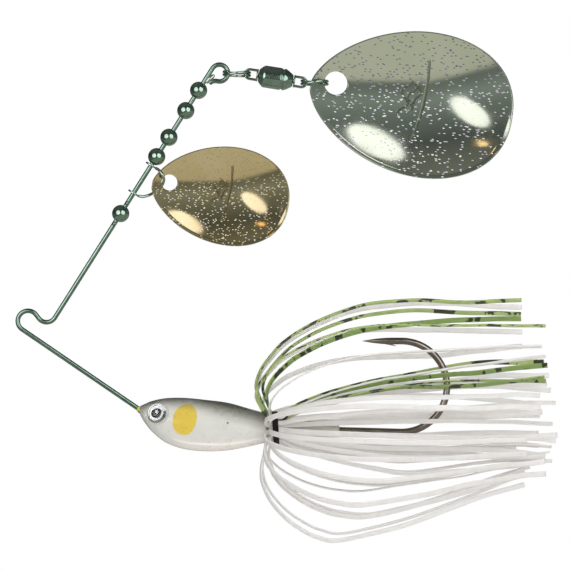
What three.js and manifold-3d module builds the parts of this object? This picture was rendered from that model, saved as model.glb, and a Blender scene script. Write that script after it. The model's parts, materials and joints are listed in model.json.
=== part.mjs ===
// A double-blade spinnerbait: a V of spring wire with a weighted head, a hook and a skirt below, and a
// beaded arm above that carries two cupped blades.
// Millimetres. +X runs from the nose to the tail, +Z is up and +Y is the lure's left side.
// The origin is the centre of the open bend that the fishing line is tied to.

import * as THREE from 'three';
import { mergeVertices } from 'three/addons/utils/BufferGeometryUtils.js';
import Module from 'manifold-3d';

const wasm = await Module();
wasm.setup();

// ---- driving dimensions ----

const WIRE = 0.9;                       // diameter of the spring wire
const CLEARANCE = 0.1;                  // between pieces that touch or hold each other
const ROUND_SIDES = 10;                 // facets round a wire

const LINE_TIE_RADIUS = 1.94;           // centreline of the open bend
const LOWER_ARM_SLOPE = 34.3;           // degrees below level, towards the nose
const LOWER_ARM_LENGTH = 26.9;          // from the bend to the nose
const DIP_SLOPE = 53;                   // degrees below level, behind the bend
const DIP_LENGTH = 0.83;
const DIP_RADIUS = 1.86;
const UPPER_ARM_SLOPE = 57.7;           // degrees above level
const UPPER_ARM_LENGTH = 56;            // from the dip to the wire's eye
const EYE_RADIUS = 1.6;                 // centreline of the wire's eye
const TAIL_BEND_RADIUS = 1.6;
const TAIL_OFFSET = 1.0;                // between the tail and the arm beside it

const BEAD_RADIUS = 1.65;
const BEAD_HOLE_RADIUS = 0.6;
const BEAD_PLACES = [51.1, 46.55, 40.55, 36.2];   // along the upper arm
const STOP_BEAD_PLACE = 23.4;
const SWAGE_OFFSET = 2.3;               // from the stop bead's centre to each crimp

const CLEVIS_TOP = 34.25;               // along the upper arm, just under the last bead
const CLEVIS_BOTTOM = 28.0;
const CLEVIS_WIRE = 0.55;
const LUG_RADIUS = 1.15;
const LUG_THICKNESS = 0.35;

const SILVER_BLADE = {
	name: 'silver_blade', length: 39, thickness: 0.6, hole: 2.2, holePlace: 4.85,
	tip: [53.5, 44.75], slope: 9.6, columns: 18, rows: 13, color: 0xa0a58c,
};
const GOLD_BLADE = {
	name: 'gold_blade', length: 26.4, thickness: 0.5, hole: 1.5, holePlace: 3.3,
	tip: [23.45, 25.95], slope: 8.6, columns: 15, rows: 11, color: 0xa59664,
};
const HOLE_RISE = 0.034;                // how far the hole lies above the blade's middle, per length
const CUP_DEPTH = 0.1;                  // depth of the cup at the rim, per length
const CUP_PLACE = 0.58;                 // deepest point of the cup, from the tip, per length

const RING_THICKNESS = 0.42;            // a split ring's flat wire, across the ring's plane in RING_HEIGHT
const RING_HEIGHT = 0.46;
const RING_PITCH = 0.56;                // between the ring's two turns

const SWIVEL_START = [43.8, 46.65];     // centre of the barrel's front end
const SWIVEL_SLOPE = 9.1;
const BARREL_LENGTH = 6.63;
const BARREL_RADIUS = 2.1;
const LOOP_WIRE = 0.52;
const LOOP_RADIUS = 0.9;
const LOOP_REACH = 1.65;                // from the barrel's end to the centre of the loop's bend
const BALLS = 6;
const BALL_RADIUS = 0.3;
const BALL_CIRCLE = 0.88;
const BALL_PLACE = 5.25;                // along the barrel

const HEAD_START = 21.0;                // the nose
const HEAD_END = 45.2;
const HEAD_AXIS = -20.3;                // height of the collar and the skirt
const STUB_RADIUS = 1.75;               // the head's slim tail, from the collar's seat back along the shank
const STUB_END = 59.3;
const STUB_END_RADIUS = 1.25;
const STUB_DROP = 0.35;                 // how far the stub's end lies below the collar's height
const EYE_CENTRE = [24.7, 2.62, -17.5];
const EYE_SEAT = 2.05;                  // radius of the recess for an eye
const EYE_TURN = 17;                    // degrees that an eye faces forward
const EYE_TILT = 15;                    // degrees that an eye faces up

const HOOK_WIRE = 1.3;
const HOOK_EYE_RADIUS = 1.55;
const HOOK_EYE_CENTRE = 33;
const SHANK_END = [70.7, -21.1];
const SHANK_DROP = 1.6;                 // degrees below level, towards the bend
const BEND_RADIUS = 8.65;
const POINT_LENGTH = 7.4;

const COLLAR_START = 46.5;
const COLLAR_END = 47.6;
const COLLAR_RADIUS = 3.15;
const COLLAR_BORE = 2.84;
const STRANDS_PER_LAYER = 12;
const STRAND_WIDTH = 0.9;
const STRAND_THICKNESS = 0.34;
const INNER_LAYER = 2.12;               // distance of a strand from the skirt's axis inside the collar
const OUTER_LAYER = 2.57;

// How far each strand's two tails stand from the skirt's axis: the front tail at its widest and at its tip,
// then the rear tail in its middle and at its tip. The strands start beside the top and go round.
const INNER_STRANDS = [
	[25.15, 24.7, 8.2, 8.5],
	[28, 27.7, 11.7, 13.6],
	[19.5, 17, 5, 5.5],
	[19.5, 15, 5.2, 6.5],
	[19.5, 11.5, 5.4, 6.8],
	[21.9, 11, 5.2, 6],
	[21, 10, 4.6, 3.8],
	[18.5, 10.4, 5, 4.1],
	[19, 14, 5, 3.6],
	[19.5, 16.5, 5.5, 9],
	[26.2, 26.3, 9.5, 10.9],
	[24.1, 23.8, 8.2, 8],
];
const OUTER_STRANDS = [
	[22.4, 22, 9.2, 11.8],
	[18.6, 19.8, 12.9, 17.6],
	[16.4, 15.5, 9.4, 12.6],
	[16.4, 13.4, 9.4, 9.8],
	[15.5, 9.6, 9.2, 8.2],
	[17.8, 8.8, 9, 7.5],
	[16.5, 7.6, 8.4, 6.2],
	[14, 8, 8.4, 6.3],
	[16, 10.8, 9, 8.2],
	[16.4, 14, 9, 11.2],
	[22.4, 24.2, 13, 16.5],
	[20.8, 22.4, 10.8, 13.7],
];
const OUTER_TURN = 8;                   // degrees from each inner strand to the outer one beside it
const LAYER_GAP = 0.8;                  // between the layers where they leave the collar, along X
const GREEN_STRANDS = ['inner_1', 'inner_2', 'outer_1', 'outer_12'];

// ---- materials ----

const finish = (color, roughness, metalness) => new THREE.MeshStandardMaterial({ color, roughness, metalness });
const blackNickel = () => finish(0x324b3c, 0.25, 1);

// ---- helpers ----

const radians = THREE.MathUtils.degToRad;

// a point in the lure's own plane, from its place along X and its height
const at = (x, z, y = 0) => new THREE.Vector3(x, y, z);

// the direction at an angle above +X, in the lure's own plane
const heading = (degrees) => at(Math.cos(radians(degrees)), Math.sin(radians(degrees)));

function beyond(point, degrees, distance) {
	return point.clone().addScaledVector(heading(degrees), distance);
}

function arc(centre, radius, from, to, steps) {
	const points = [];
	for (let i = 0; i <= steps; i++) {
		points.push(beyond(centre, from + ((to - from) * i) / steps, radius));
	}
	return points;
}

// A route through points that are close in its bends and far apart on its straights.
class Route extends THREE.Curve {
	constructor(points) {
		super();
		this.points = points;
	}

	getPoint(t, target = new THREE.Vector3()) {
		const last = this.points.length - 1;
		const i = Math.min(Math.floor(t * last), last - 1);
		return target.lerpVectors(this.points[i], this.points[i + 1], t * last - i);
	}

	getPointAt(u, target) {
		return this.getPoint(u, target);
	}

	getTangentAt(u, target = new THREE.Vector3()) {
		const last = this.points.length - 1;
		const i = Math.round(u * last);
		target.set(0, 0, 0);
		for (const k of [i - 1, i]) {
			if (k >= 0 && k < last) {
				target.add(this.points[k + 1].clone().sub(this.points[k]).normalize());
			}
		}
		return target.normalize();
	}
}

function roundSection(radius, sides = ROUND_SIDES) {
	const corners = [];
	for (let i = 0; i < sides; i++) {
		const angle = (2 * Math.PI * i) / sides;
		corners.push(new THREE.Vector2(radius * Math.cos(angle), radius * Math.sin(angle)));
	}
	return new THREE.Shape(corners);
}

function flatSection(width, thickness) {
	const w = width / 2;
	const t = thickness / 2;
	return new THREE.Shape([
		new THREE.Vector2(-w, -t),
		new THREE.Vector2(w, -t),
		new THREE.Vector2(w, t),
		new THREE.Vector2(-w, t),
	]);
}

function sweep(points, section) {
	return new THREE.ExtrudeGeometry(section, {
		extrudePath: new Route(points), steps: points.length - 1, bevelEnabled: false,
	});
}

// a plate of an outline in X and Z, with its thickness centred on Y = 0
function plate(shape, thickness) {
	const geometry = new THREE.ExtrudeGeometry(shape, { depth: thickness, bevelEnabled: false });
	geometry.translate(0, 0, -thickness / 2);
	geometry.rotateX(Math.PI / 2);
	return geometry;
}

function cylinderAlongX(radius, from, to, sides = 20, endRadius = radius) {
	const geometry = new THREE.CylinderGeometry(endRadius, radius, to - from, sides);
	geometry.rotateZ(-Math.PI / 2);
	geometry.translate((from + to) / 2, 0, 0);
	return geometry;
}

// a profile of places along X and radii, turned about X; a closed one is joined end to end
function turned(profile, sides = 20, closed = true) {
	const points = profile.map(([place, radius]) => new THREE.Vector2(radius, place));
	if (closed) {
		points.push(points[0].clone());
	}
	const geometry = new THREE.LatheGeometry(points, sides);
	geometry.rotateZ(-Math.PI / 2);
	return geometry;
}

function solid(geometry) {
	const bare = geometry.clone();
	bare.deleteAttribute('normal');
	bare.deleteAttribute('uv');
	const merged = mergeVertices(bare, 1e-4);
	return new wasm.Manifold(new wasm.Mesh({
		numProp: 3,
		vertProperties: new Float32Array(merged.attributes.position.array),
		triVerts: new Uint32Array(merged.index.array),
	}));
}

function geometryOf(body) {
	const mesh = body.getMesh();
	const geometry = new THREE.BufferGeometry();
	geometry.setAttribute('position', new THREE.BufferAttribute(new Float32Array(mesh.vertProperties), 3));
	geometry.setIndex(new THREE.BufferAttribute(new Uint32Array(mesh.triVerts), 1));
	geometry.computeVertexNormals();
	return geometry;
}

function joined(...geometries) {
	return geometryOf(geometries.map(solid).reduce((whole, piece) => whole.add(piece)));
}

function cut(geometry, ...cutters) {
	return geometryOf(cutters.map(solid).reduce((whole, cutter) => whole.subtract(cutter), solid(geometry)));
}

const lure = new THREE.Group();

function addPiece(name, geometry, material, parent = lure) {
	const mesh = new THREE.Mesh(geometry, material);
	mesh.name = name;
	parent.add(mesh);
	return mesh;
}

// a group whose X axis starts at a point and slopes down by a number of degrees
function slopedGroup(point, slope) {
	const group = new THREE.Group();
	group.position.copy(point);
	group.rotation.y = radians(slope);
	lure.add(group);
	return group;
}

// ---- the wire's route ----

const LINE_TIE = at(0, 0);
const dipTurn = 90 - DIP_SLOPE;
const dipCentre = beyond(
	beyond(LINE_TIE, dipTurn, LINE_TIE_RADIUS + DIP_RADIUS), -DIP_SLOPE, DIP_LENGTH);
const armSide = UPPER_ARM_SLOPE - 90;            // the heading square to the upper arm, towards the tail
const armStart = beyond(dipCentre, armSide, DIP_RADIUS);
const alongArm = (distance) => beyond(armStart, UPPER_ARM_SLOPE, distance);
const wireEye = beyond(alongArm(UPPER_ARM_LENGTH), armSide, EYE_RADIUS);

function lineTieAndDip() {
	const bend = arc(LINE_TIE, LINE_TIE_RADIUS, 270 - LOWER_ARM_SLOPE, dipTurn, 14);
	const dip = arc(dipCentre, DIP_RADIUS, 180 + dipTurn, 360 + armSide, 8);
	return [...bend, ...dip];
}

// The eye runs over the top and round, then a reverse bend lays the tail beside the arm.
function eyeAndTail() {
	const tailTurn = THREE.MathUtils.radToDeg(
		Math.acos(1 - (2 * EYE_RADIUS - TAIL_OFFSET) / (EYE_RADIUS + TAIL_BEND_RADIUS)));
	const start = armSide + 180;
	const end = armSide - tailTurn;
	const reverseCentre = beyond(wireEye, end, EYE_RADIUS + TAIL_BEND_RADIUS);
	const eye = arc(wireEye, EYE_RADIUS, start, end, 20);
	const reverse = arc(reverseCentre, TAIL_BEND_RADIUS, end + 180, end + 180 + tailTurn * 0.85, 6);
	return { eye, reverse: reverse.slice(1) };
}

const nose = beyond(
	beyond(LINE_TIE, 270 - LOWER_ARM_SLOPE, LINE_TIE_RADIUS), -LOWER_ARM_SLOPE, LOWER_ARM_LENGTH);

// Inside the head the wire runs back beside the hook's eye and turns across through it.
const FOOT_SIDE = -1.25;
const FOOT_HEIGHT = HEAD_AXIS + 0.25;
const footRoute = [
	at(HOOK_EYE_CENTRE, FOOT_HEIGHT, 1.4),
	at(HOOK_EYE_CENTRE, FOOT_HEIGHT, -0.7),
	at(HOOK_EYE_CENTRE - 0.2, FOOT_HEIGHT, -1.1),
	at(HOOK_EYE_CENTRE - 0.7, FOOT_HEIGHT, FOOT_SIDE),
	at(HOOK_EYE_CENTRE - 2.2, FOOT_HEIGHT, FOOT_SIDE),
	at(HOOK_EYE_CENTRE - 5, FOOT_HEIGHT),
	at(HOOK_EYE_CENTRE - 6.3, FOOT_HEIGHT + 0.05),
	beyond(nose, -LOWER_ARM_SLOPE, 5.2),
];

// ---- wire arm ----

function wireArm() {
	const { eye, reverse } = eyeAndTail();
	const route = [...footRoute, ...lineTieAndDip(), ...eye, ...reverse];
	const fork = [alongArm(UPPER_ARM_LENGTH - 0.3), alongArm(UPPER_ARM_LENGTH - 2.6), reverse[4], reverse[0]];
	const solder = plate(new THREE.Shape(fork.map((point) => new THREE.Vector2(point.x, point.z))), 0.5);
	const crimps = [-1, 1].map((side) => {
		const crimp = new THREE.SphereGeometry(1, 10, 6);
		crimp.scale(0.72, 0.6, 0.45);
		crimp.rotateY(-radians(UPPER_ARM_SLOPE));
		crimp.translate(...alongArm(STOP_BEAD_PLACE + side * SWAGE_OFFSET));
		return crimp;
	});
	return joined(sweep(route, roundSection(WIRE / 2)), solder, ...crimps);
}

addPiece('wire_arm', wireArm(), blackNickel());

// ---- beads ----

function bead() {
	const profile = [];
	const steps = 8;
	const mouth = Math.asin(BEAD_HOLE_RADIUS / BEAD_RADIUS);
	for (let i = 0; i <= steps; i++) {
		const angle = mouth + ((Math.PI - 2 * mouth) * i) / steps;
		profile.push(new THREE.Vector2(BEAD_RADIUS * Math.sin(angle), -BEAD_RADIUS * Math.cos(angle)));
	}
	profile.push(profile[0].clone());
	return new THREE.LatheGeometry(profile, 14).rotateX(Math.PI / 2);
}

function addBead(name, place) {
	const mesh = addPiece(name, bead(), blackNickel());
	mesh.position.copy(alongArm(place));
	mesh.rotation.y = radians(90 - UPPER_ARM_SLOPE);
}

addBead('stop_bead', STOP_BEAD_PLACE);
BEAD_PLACES.forEach((place, i) => addBead(`bead_${i + 1}`, place));

// ---- blades ----

function bladeOutline(blade) {
	const edge = [];
	const steps = 24;
	for (let i = 0; i <= steps; i++) {
		const s = (1 - Math.cos((Math.PI * i) / steps)) / 2;
		edge.push(new THREE.Vector2(blade.length * s, 0.737 * blade.length * s ** 0.62 * (1 - s) ** 0.45));
	}
	const below = edge.slice(1, -1).reverse().map((point) => new THREE.Vector2(point.x, -point.y));
	const outline = new THREE.Shape([...edge, ...below]);
	const hole = new THREE.Path();
	hole.absarc(blade.holePlace, HOLE_RISE * blade.length, blade.hole, 0, 2 * Math.PI);
	outline.holes.push(hole);
	return outline;
}

// how far the cupped sheet lies to the lure's left of the blade's hole
function cup(blade, x, z) {
	const bowl = (place, height) => {
		const reach = place < CUP_PLACE ? CUP_PLACE : 1 - CUP_PLACE;
		return 1 - ((place - CUP_PLACE) / reach) ** 2 - (height / 0.365) ** 2;
	};
	const margin = (blade.holePlace - 1.3 * blade.hole) / blade.length;
	return CUP_DEPTH * blade.length * (bowl(x / blade.length, z / blade.length) - bowl(margin, 0));
}

// a cupped sheet, cut to the blade's outline
function addBlade(blade) {
	const length = blade.length * 1.1;
	const sheet = new THREE.BoxGeometry(length, blade.thickness, blade.length * 0.82, blade.columns, 1, blade.rows);
	sheet.translate(blade.length / 2, 0, 0);
	const places = sheet.attributes.position;
	for (let i = 0; i < places.count; i++) {
		places.setY(i, places.getY(i) + cup(blade, places.getX(i), places.getZ(i)));
	}
	const outline = plate(bladeOutline(blade), blade.length);
	const group = slopedGroup(at(...blade.tip), blade.slope);
	addPiece(blade.name, geometryOf(solid(sheet).intersect(solid(outline))), finish(blade.color, 0.12, 1), group);
}

addBlade(SILVER_BLADE);
addBlade(GOLD_BLADE);

// ---- clevis ----

// A bent wire with an eyelet at each end round the upper arm. It passes in front of the gold blade's
// edge, through the blade's hole and back behind.
function clevis() {
	const edge = 1.0;
	const start = beyond(alongArm(CLEVIS_TOP), armSide, edge);
	const end = beyond(alongArm(CLEVIS_BOTTOM), armSide, edge);
	const route = new THREE.CatmullRomCurve3([
		start,
		at(24.9, 28.65, -1),
		at(25.6, 27.75, -1.5),
		at(25.85, 26.95, -1.1),
		at(25.75, 26.4, 0),
		at(25.35, 25.7, 1.1),
		at(24.5, 24.9, 1.45),
		at(23.2, 24.05, 1.0),
		at(21.9, 23.65, 0.4),
		end,
	]).getPoints(22);
	let whole = solid(sweep(route, roundSection(CLEVIS_WIRE / 2, 6)));
	for (const place of [CLEVIS_TOP, CLEVIS_BOTTOM]) {
		const eyelet = new THREE.CylinderGeometry(LUG_RADIUS, LUG_RADIUS, LUG_THICKNESS, 16);
		const bore = new THREE.CylinderGeometry(BEAD_HOLE_RADIUS, BEAD_HOLE_RADIUS, 4 * LUG_THICKNESS, 12);
		for (const geometry of [eyelet, bore]) {
			geometry.rotateZ(-Math.PI / 2);
			geometry.rotateY(-radians(UPPER_ARM_SLOPE));
			geometry.translate(...alongArm(place));
		}
		whole = whole.add(solid(eyelet)).subtract(solid(bore));
	}
	return geometryOf(whole);
}

addPiece('clevis', clevis(), finish(0x4a6a58, 0.2, 1));

// ---- swivel ----

const swivelAt = (place) => beyond(at(...SWIVEL_START), -SWIVEL_SLOPE, place);
const frontLoop = swivelAt(-LOOP_REACH);
const rearLoop = swivelAt(BARREL_LENGTH + LOOP_REACH);
const swivel = slopedGroup(at(...SWIVEL_START), SWIVEL_SLOPE);

// a hollow body, open round the stem at each end, with a groove where its rear cap is closed on
function barrel() {
	return turned([
		[0, 0.52], [0, 1.15], [1, BARREL_RADIUS], [4.3, BARREL_RADIUS], [4.45, 1.93], [4.75, 1.93],
		[4.9, BARREL_RADIUS], [5.5, 1.85], [BARREL_LENGTH, 1.1], [BARREL_LENGTH, 0.55],
		[5.65, 0.55], [5.65, 1.32], [5, 1.5], [1.2, 1.5], [1.2, 0.52],
	]);
}

// A wire loop on a collar, with a stem into the barrel that ends in a flat head. It is drawn
// for the front end and turned round for the rear.
function swivelEye(stem, headRadius) {
	const collar = 0.4;
	const half = LOOP_RADIUS;
	const loop = [
		at(-0.2, half),
		...arc(at(-LOOP_REACH, 0), half, 90, 270, 10),
		at(-0.2, -half),
	];
	return joined(
		sweep(loop, roundSection(LOOP_WIRE / 2, 8)),
		cylinderAlongX(1.2, -collar, -CLEARANCE),
		cylinderAlongX(0.42, -collar, stem, 10),
		cylinderAlongX(headRadius, stem - 0.4, stem, 14),
	);
}

addPiece('swivel_barrel', barrel(), blackNickel(), swivel);
addPiece('swivel_front_eye', swivelEye(1.75, 0.9), blackNickel(), swivel);
const rearEye = addPiece('swivel_rear_eye', swivelEye(2.3, 1.2), blackNickel(), swivel);
rearEye.position.x = BARREL_LENGTH;
rearEye.rotation.y = Math.PI;

for (let i = 0; i < BALLS; i++) {
	const angle = (2 * Math.PI * i) / BALLS;
	const ball = addPiece(`swivel_ball_${i + 1}`, new THREE.SphereGeometry(BALL_RADIUS, 8, 6),
		finish(0xc8c8c8, 0.15, 1), swivel);
	ball.position.set(BALL_PLACE, BALL_CIRCLE * Math.cos(angle), BALL_CIRCLE * Math.sin(angle));
}

// ---- split rings ----

// Two flat turns side by side, with one short step between them at the ring's side.
function splitRing(radius) {
	const route = [];
	const steps = 32;
	const stepHalf = 40;
	for (let i = 0; i <= steps; i++) {
		const turn = stepHalf + ((720 - 2 * stepHalf) * i) / steps;
		const angle = radians(turn - 90);
		const rise = THREE.MathUtils.clamp((turn - 360) / stepHalf, -1, 1) * (RING_PITCH / 2);
		route.push(new THREE.Vector3(radius * Math.cos(angle), radius * Math.sin(angle), rise));
	}
	return sweep(route, flatSection(RING_HEIGHT, RING_THICKNESS));
}

// a ring whose wire passes through two points
function addRing(name, from, to) {
	const slope = THREE.MathUtils.radToDeg(Math.atan2(from.z - to.z, to.x - from.x));
	const group = slopedGroup(from.clone().lerp(to, 0.5), slope);
	addPiece(name, splitRing(from.distanceTo(to) / 2), blackNickel(), group);
}

const ringInEye = 0.78;                  // from the middle of the wire's eye to the ring's wire
const ringInHole = 0.62;                 // from the edge of the blade's hole to the ring's wire
const towardsSwivel = frontLoop.clone().sub(wireEye).normalize();
addRing('split_ring_front', wireEye.clone().addScaledVector(towardsSwivel, ringInEye), frontLoop);

const silverHole = beyond(
	beyond(at(...SILVER_BLADE.tip), -SILVER_BLADE.slope, SILVER_BLADE.holePlace),
	90 - SILVER_BLADE.slope, HOLE_RISE * SILVER_BLADE.length);
const towardsSilver = silverHole.clone().sub(rearLoop).normalize();
addRing('split_ring_rear', rearLoop, silverHole.clone().addScaledVector(towardsSilver, ringInHole - SILVER_BLADE.hole));

// ---- hook ----

const hookEye = beyond(at(...SHANK_END), 180 - SHANK_DROP,
	(SHANK_END[0] - HOOK_EYE_CENTRE) / Math.cos(radians(SHANK_DROP)));

function hookRoute() {
	const bendCentre = beyond(at(...SHANK_END), 90 - SHANK_DROP, BEND_RADIUS);
	const inShank = (along, up) => beyond(beyond(hookEye, -SHANK_DROP, along), 90 - SHANK_DROP, up);
	const bend = arc(bendCentre, BEND_RADIUS, -90 - SHANK_DROP, 90, 20);
	return [
		...arc(hookEye, HOOK_EYE_RADIUS, 60, 320, 12),
		inShank(1.9, -0.4),
		inShank(2.6, -0.05),
		inShank(4, 0),
		...bend,
		beyond(bend[bend.length - 1], 180, 2),
	];
}

function hook() {
	const route = hookRoute();
	const spearStart = route[route.length - 1];
	const spear = cylinderAlongX(0.05, -(POINT_LENGTH - 2), 0.1, ROUND_SIDES, HOOK_WIRE / 2);
	spear.translate(...spearStart);
	const barbRoot = spearStart.clone().add(at(-1.6, -0.2));
	const barb = plate(new THREE.Shape([
		new THREE.Vector2(barbRoot.x - 1.6, barbRoot.z + 0.05),
		new THREE.Vector2(barbRoot.x + 1.0, barbRoot.z - 0.95),
		new THREE.Vector2(barbRoot.x + 0.2, barbRoot.z + 0.05),
	]), 0.45);
	return joined(sweep(route, roundSection(HOOK_WIRE / 2)), spear, barb);
}

addPiece('hook', hook(), finish(0x504641, 0.3, 1));

// ---- head ----

// Cross-sections from the nose to the tail: place, top, bottom and half of the width.
const HEAD_SECTIONS = [
	[21.35, -16.2, -17.9, 0.9],
	[22.2, -15.8, -19.3, 2.0],
	[23.7, -15.2, -21.1, 2.95],
	[26.3, -14.7, -23.1, 3.7],
	[29.8, -14.65, -24.3, 4.1],
	[34, -15.05, -24.7, 4.1],
	[38.1, -15.6, -24.5, 3.7],
	[42.2, -16.75, -23.75, 3.15],
	[HEAD_END, HEAD_AXIS + 2.75, HEAD_AXIS - 2.75, 2.7],
];

function headBody() {
	const heights = new THREE.CatmullRomCurve3(
		HEAD_SECTIONS.map(([place, top, bottom]) => new THREE.Vector3(place, top, bottom)));
	const widths = new THREE.CatmullRomCurve3(
		HEAD_SECTIONS.map(([place, , , half]) => new THREE.Vector3(place, half, 0)));
	const stations = 14;
	const profile = [new THREE.Vector2(0, -1)];
	for (let i = 0; i <= stations; i++) {
		profile.push(new THREE.Vector2(1, i));
	}
	profile.push(new THREE.Vector2(0, stations));
	const geometry = new THREE.LatheGeometry(profile, 20);
	const places = geometry.attributes.position;
	for (let k = 0; k < places.count; k++) {
		const across = -places.getX(k);
		const up = places.getZ(k);
		const station = places.getY(k);
		if (station < 0) {
			places.setXYZ(k, HEAD_START, 0, nose.z);
			continue;
		}
		const section = heights.getPoint(station / stations);
		const half = widths.getPoint(station / stations).y;
		const middle = (section.y + section.z) / 2;
		places.setXYZ(k, section.x, across * half, middle + up * (section.y - section.z) / 2);
	}
	return geometry;
}

function eyePlacement(side) {
	const turn = new THREE.Euler(side * radians(EYE_TILT), 0, side * radians(EYE_TURN));
	const [x, y, z] = EYE_CENTRE;
	return new THREE.Matrix4().makeRotationFromEuler(turn).setPosition(x, side * y, z);
}

// The head is cast round the wire's foot and the hook's eye, so it is cut by both with clearance.
function head() {
	const stub = turned([
		[HEAD_END - 1, 0], [HEAD_END - 1, STUB_RADIUS], [COLLAR_END + 0.5, STUB_RADIUS],
		[STUB_END - 1, STUB_END_RADIUS], [STUB_END - 0.2, 0.7 * STUB_END_RADIUS], [STUB_END, 0],
	], 20, false);
	const places = stub.attributes.position;
	for (let i = 0; i < places.count; i++) {
		const back = Math.max(0, places.getX(i) - COLLAR_END) / (STUB_END - COLLAR_END);
		places.setZ(i, places.getZ(i) + HEAD_AXIS - STUB_DROP * back);
	}
	const wireSpace = sweep(
		[at(HOOK_EYE_CENTRE, FOOT_HEIGHT, 1.5), ...footRoute.slice(1), beyond(nose, 180 - LOWER_ARM_SLOPE, 2)],
		roundSection(WIRE / 2 + CLEARANCE));
	const hookSpace = sweep(hookRoute().slice(0, 17), roundSection(HOOK_WIRE / 2 + CLEARANCE));
	const insideEye = new THREE.CylinderGeometry(1.1, 1.1, HOOK_WIRE + 2 * CLEARANCE, 12);
	insideEye.translate(...hookEye);
	const seats = [-1, 1].map((side) => {
		const depth = 3;
		const seat = new THREE.CylinderGeometry(EYE_SEAT, EYE_SEAT, depth, 24);
		seat.translate(0, (side * depth) / 2, 0);
		return seat.applyMatrix4(eyePlacement(side));
	});
	return cut(joined(headBody(), stub), wireSpace, hookSpace, insideEye, ...seats);
}

addPiece('head', head(), finish(0xc9c6c0, 0.25, 0.1));

// ---- eyes ----

function dome(radius, rise, height) {
	const profile = [new THREE.Vector2(0, rise), new THREE.Vector2(radius, rise)];
	const steps = 5;
	for (let i = 1; i <= steps; i++) {
		const angle = (Math.PI / 2) * (i / steps);
		profile.push(new THREE.Vector2(i === steps ? 0 : radius * Math.cos(angle), rise + height * Math.sin(angle)));
	}
	return new THREE.LatheGeometry(profile, 20);
}

for (const [side, name] of [[1, 'left'], [-1, 'right']]) {
	const socket = new THREE.Group();
	socket.applyMatrix4(eyePlacement(side));
	lure.add(socket);
	const foil = new THREE.CylinderGeometry(1.95, 1.95, 0.15, 20);
	foil.translate(0, side * 0.18, 0);
	addPiece(`eye_foil_${name}`, foil, finish(0xd8dcdc, 0.3, 0.8), socket);
	const lens = addPiece(`eye_dome_${name}`, dome(1.9, 0.35, 0.6), finish(0xf0f4f4, 0.05, 0), socket);
	lens.rotation.x = side > 0 ? 0 : Math.PI;
}

// ---- collar and skirt ----

const collar = addPiece('skirt_collar', turned([
	[COLLAR_START, COLLAR_BORE], [COLLAR_START, COLLAR_RADIUS],
	[COLLAR_END, COLLAR_RADIUS], [COLLAR_END, COLLAR_BORE],
], 24), finish(0x141414, 0.6, 0));
collar.position.z = HEAD_AXIS;

// The front tail's shape up to its widest. Each row gives a part of the way out from the collar and the
// places along X where the tail reaches it: for a narrow and a wide tail at the top of the skirt, then for
// a narrow and a wide one at the bottom.
const FRONT_RISE = [
	[0.076, 46.15, 45.6, 46, 45.8],
	[0.18, 47.3, 44.4, 46, 45],
	[0.278, 48.8, 43.7, 46.6, 44.2],
	[0.41, 50.8, 44.5, 47.7, 43.8],
	[0.544, 53.5, 46.5, 49.3, 44.4],
	[0.657, 56.3, 48.8, 51.3, 45.4],
	[0.797, 60.5, 53.6, 54.3, 47.7],
	[0.905, 64.8, 59.3, 57.8, 50.4],
	[0.968, 69, 65, 61.3, 52.6],
	[1, 72.6, 72.6, 68, 56],
];
const NARROW = 14;
const WIDE = 24.3;
const mix = THREE.MathUtils.lerp;

// Half of a strand, as places along X and distances from the skirt's axis. Height is 1 for a strand at the
// top of the skirt and -1 at the bottom.
function frontTail(root, widest, tip, reach, height) {
	const wide = Math.min(1, (widest - NARROW) / (WIDE - NARROW));
	const low = (1 - height) / 2;
	const lead = root < OUTER_LAYER ? LAYER_GAP : 0;
	const rise = FRONT_RISE.map(([part, narrowTop, wideTop, narrowLow, wideLow]) => {
		const distance = mix(root, widest, part);
		const place = mix(mix(narrowTop, wideTop, wide), mix(narrowLow, wideLow, wide), low);
		return [place - lead * Math.max(0, 1 - distance / 16), distance];
	});
	const [turn] = rise[rise.length - 1];
	const run = [0.3, 0.6, 0.85, 1].map((part) =>
		[mix(turn, reach, part), mix(widest, tip, part ** 1.2)]);
	return [[46.4, root], [46.2 - 0.4 * lead, root + 0.35], ...rise, ...run];
}

function rearTail(root, middle, tip, reach) {
	const rise = [[48.6, 0.02], [51.6, 0.28], [58.1, 0.6], [65.7, 0.86], [72.6, 1]].map(([place, part]) =>
		[place, mix(root, middle, part)]);
	return [[47.7, root], ...rise, [85, mix(middle, tip, 0.55)], [reach, tip]];
}

function strandRoute(layer, azimuth, number) {
	const root = layer === 'inner' ? INNER_LAYER : OUTER_LAYER;
	const [widest, frontTip, middle, rearTip] = (layer === 'inner' ? INNER_STRANDS : OUTER_STRANDS)[number - 1];
	const frontReach = 95.5 + 2.2 * Math.sin(2.4 * number + 2);
	const rearReach = 98.6 + 1.3 * Math.cos(1.7 * number);
	const front = frontTail(root, widest, frontTip, frontReach, Math.cos(radians(azimuth)));
	const rear = rearTail(root, middle, rearTip, rearReach);
	return [...front.reverse(), ...rear].map(([x, distance]) => at(x, distance));
}

function addStrand(layer, azimuth, number) {
	const around = new THREE.Group();
	around.position.z = HEAD_AXIS;
	around.rotation.x = radians(azimuth);
	lure.add(around);
	const name = `${layer}_${number}`;
	const color = GREEN_STRANDS.includes(name) ? 0x8ca05a : 0xe4dedc;
	const geometry = sweep(strandRoute(layer, azimuth, number), flatSection(STRAND_WIDTH, STRAND_THICKNESS));
	addPiece(`strand_${name}`, geometry, finish(color, 0.5, 0), around);
}

for (let i = 0; i < STRANDS_PER_LAYER; i++) {
	const azimuth = ((i + 0.5) * 360) / STRANDS_PER_LAYER;
	addStrand('inner', azimuth, i + 1);
	addStrand('outer', azimuth - OUTER_TURN, i + 1);
}

export default lure;
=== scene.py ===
import json
import math
import random
from math import cos, pi, radians, sin

import bmesh
import bpy
from mathutils import Matrix, Vector, noise

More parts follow.
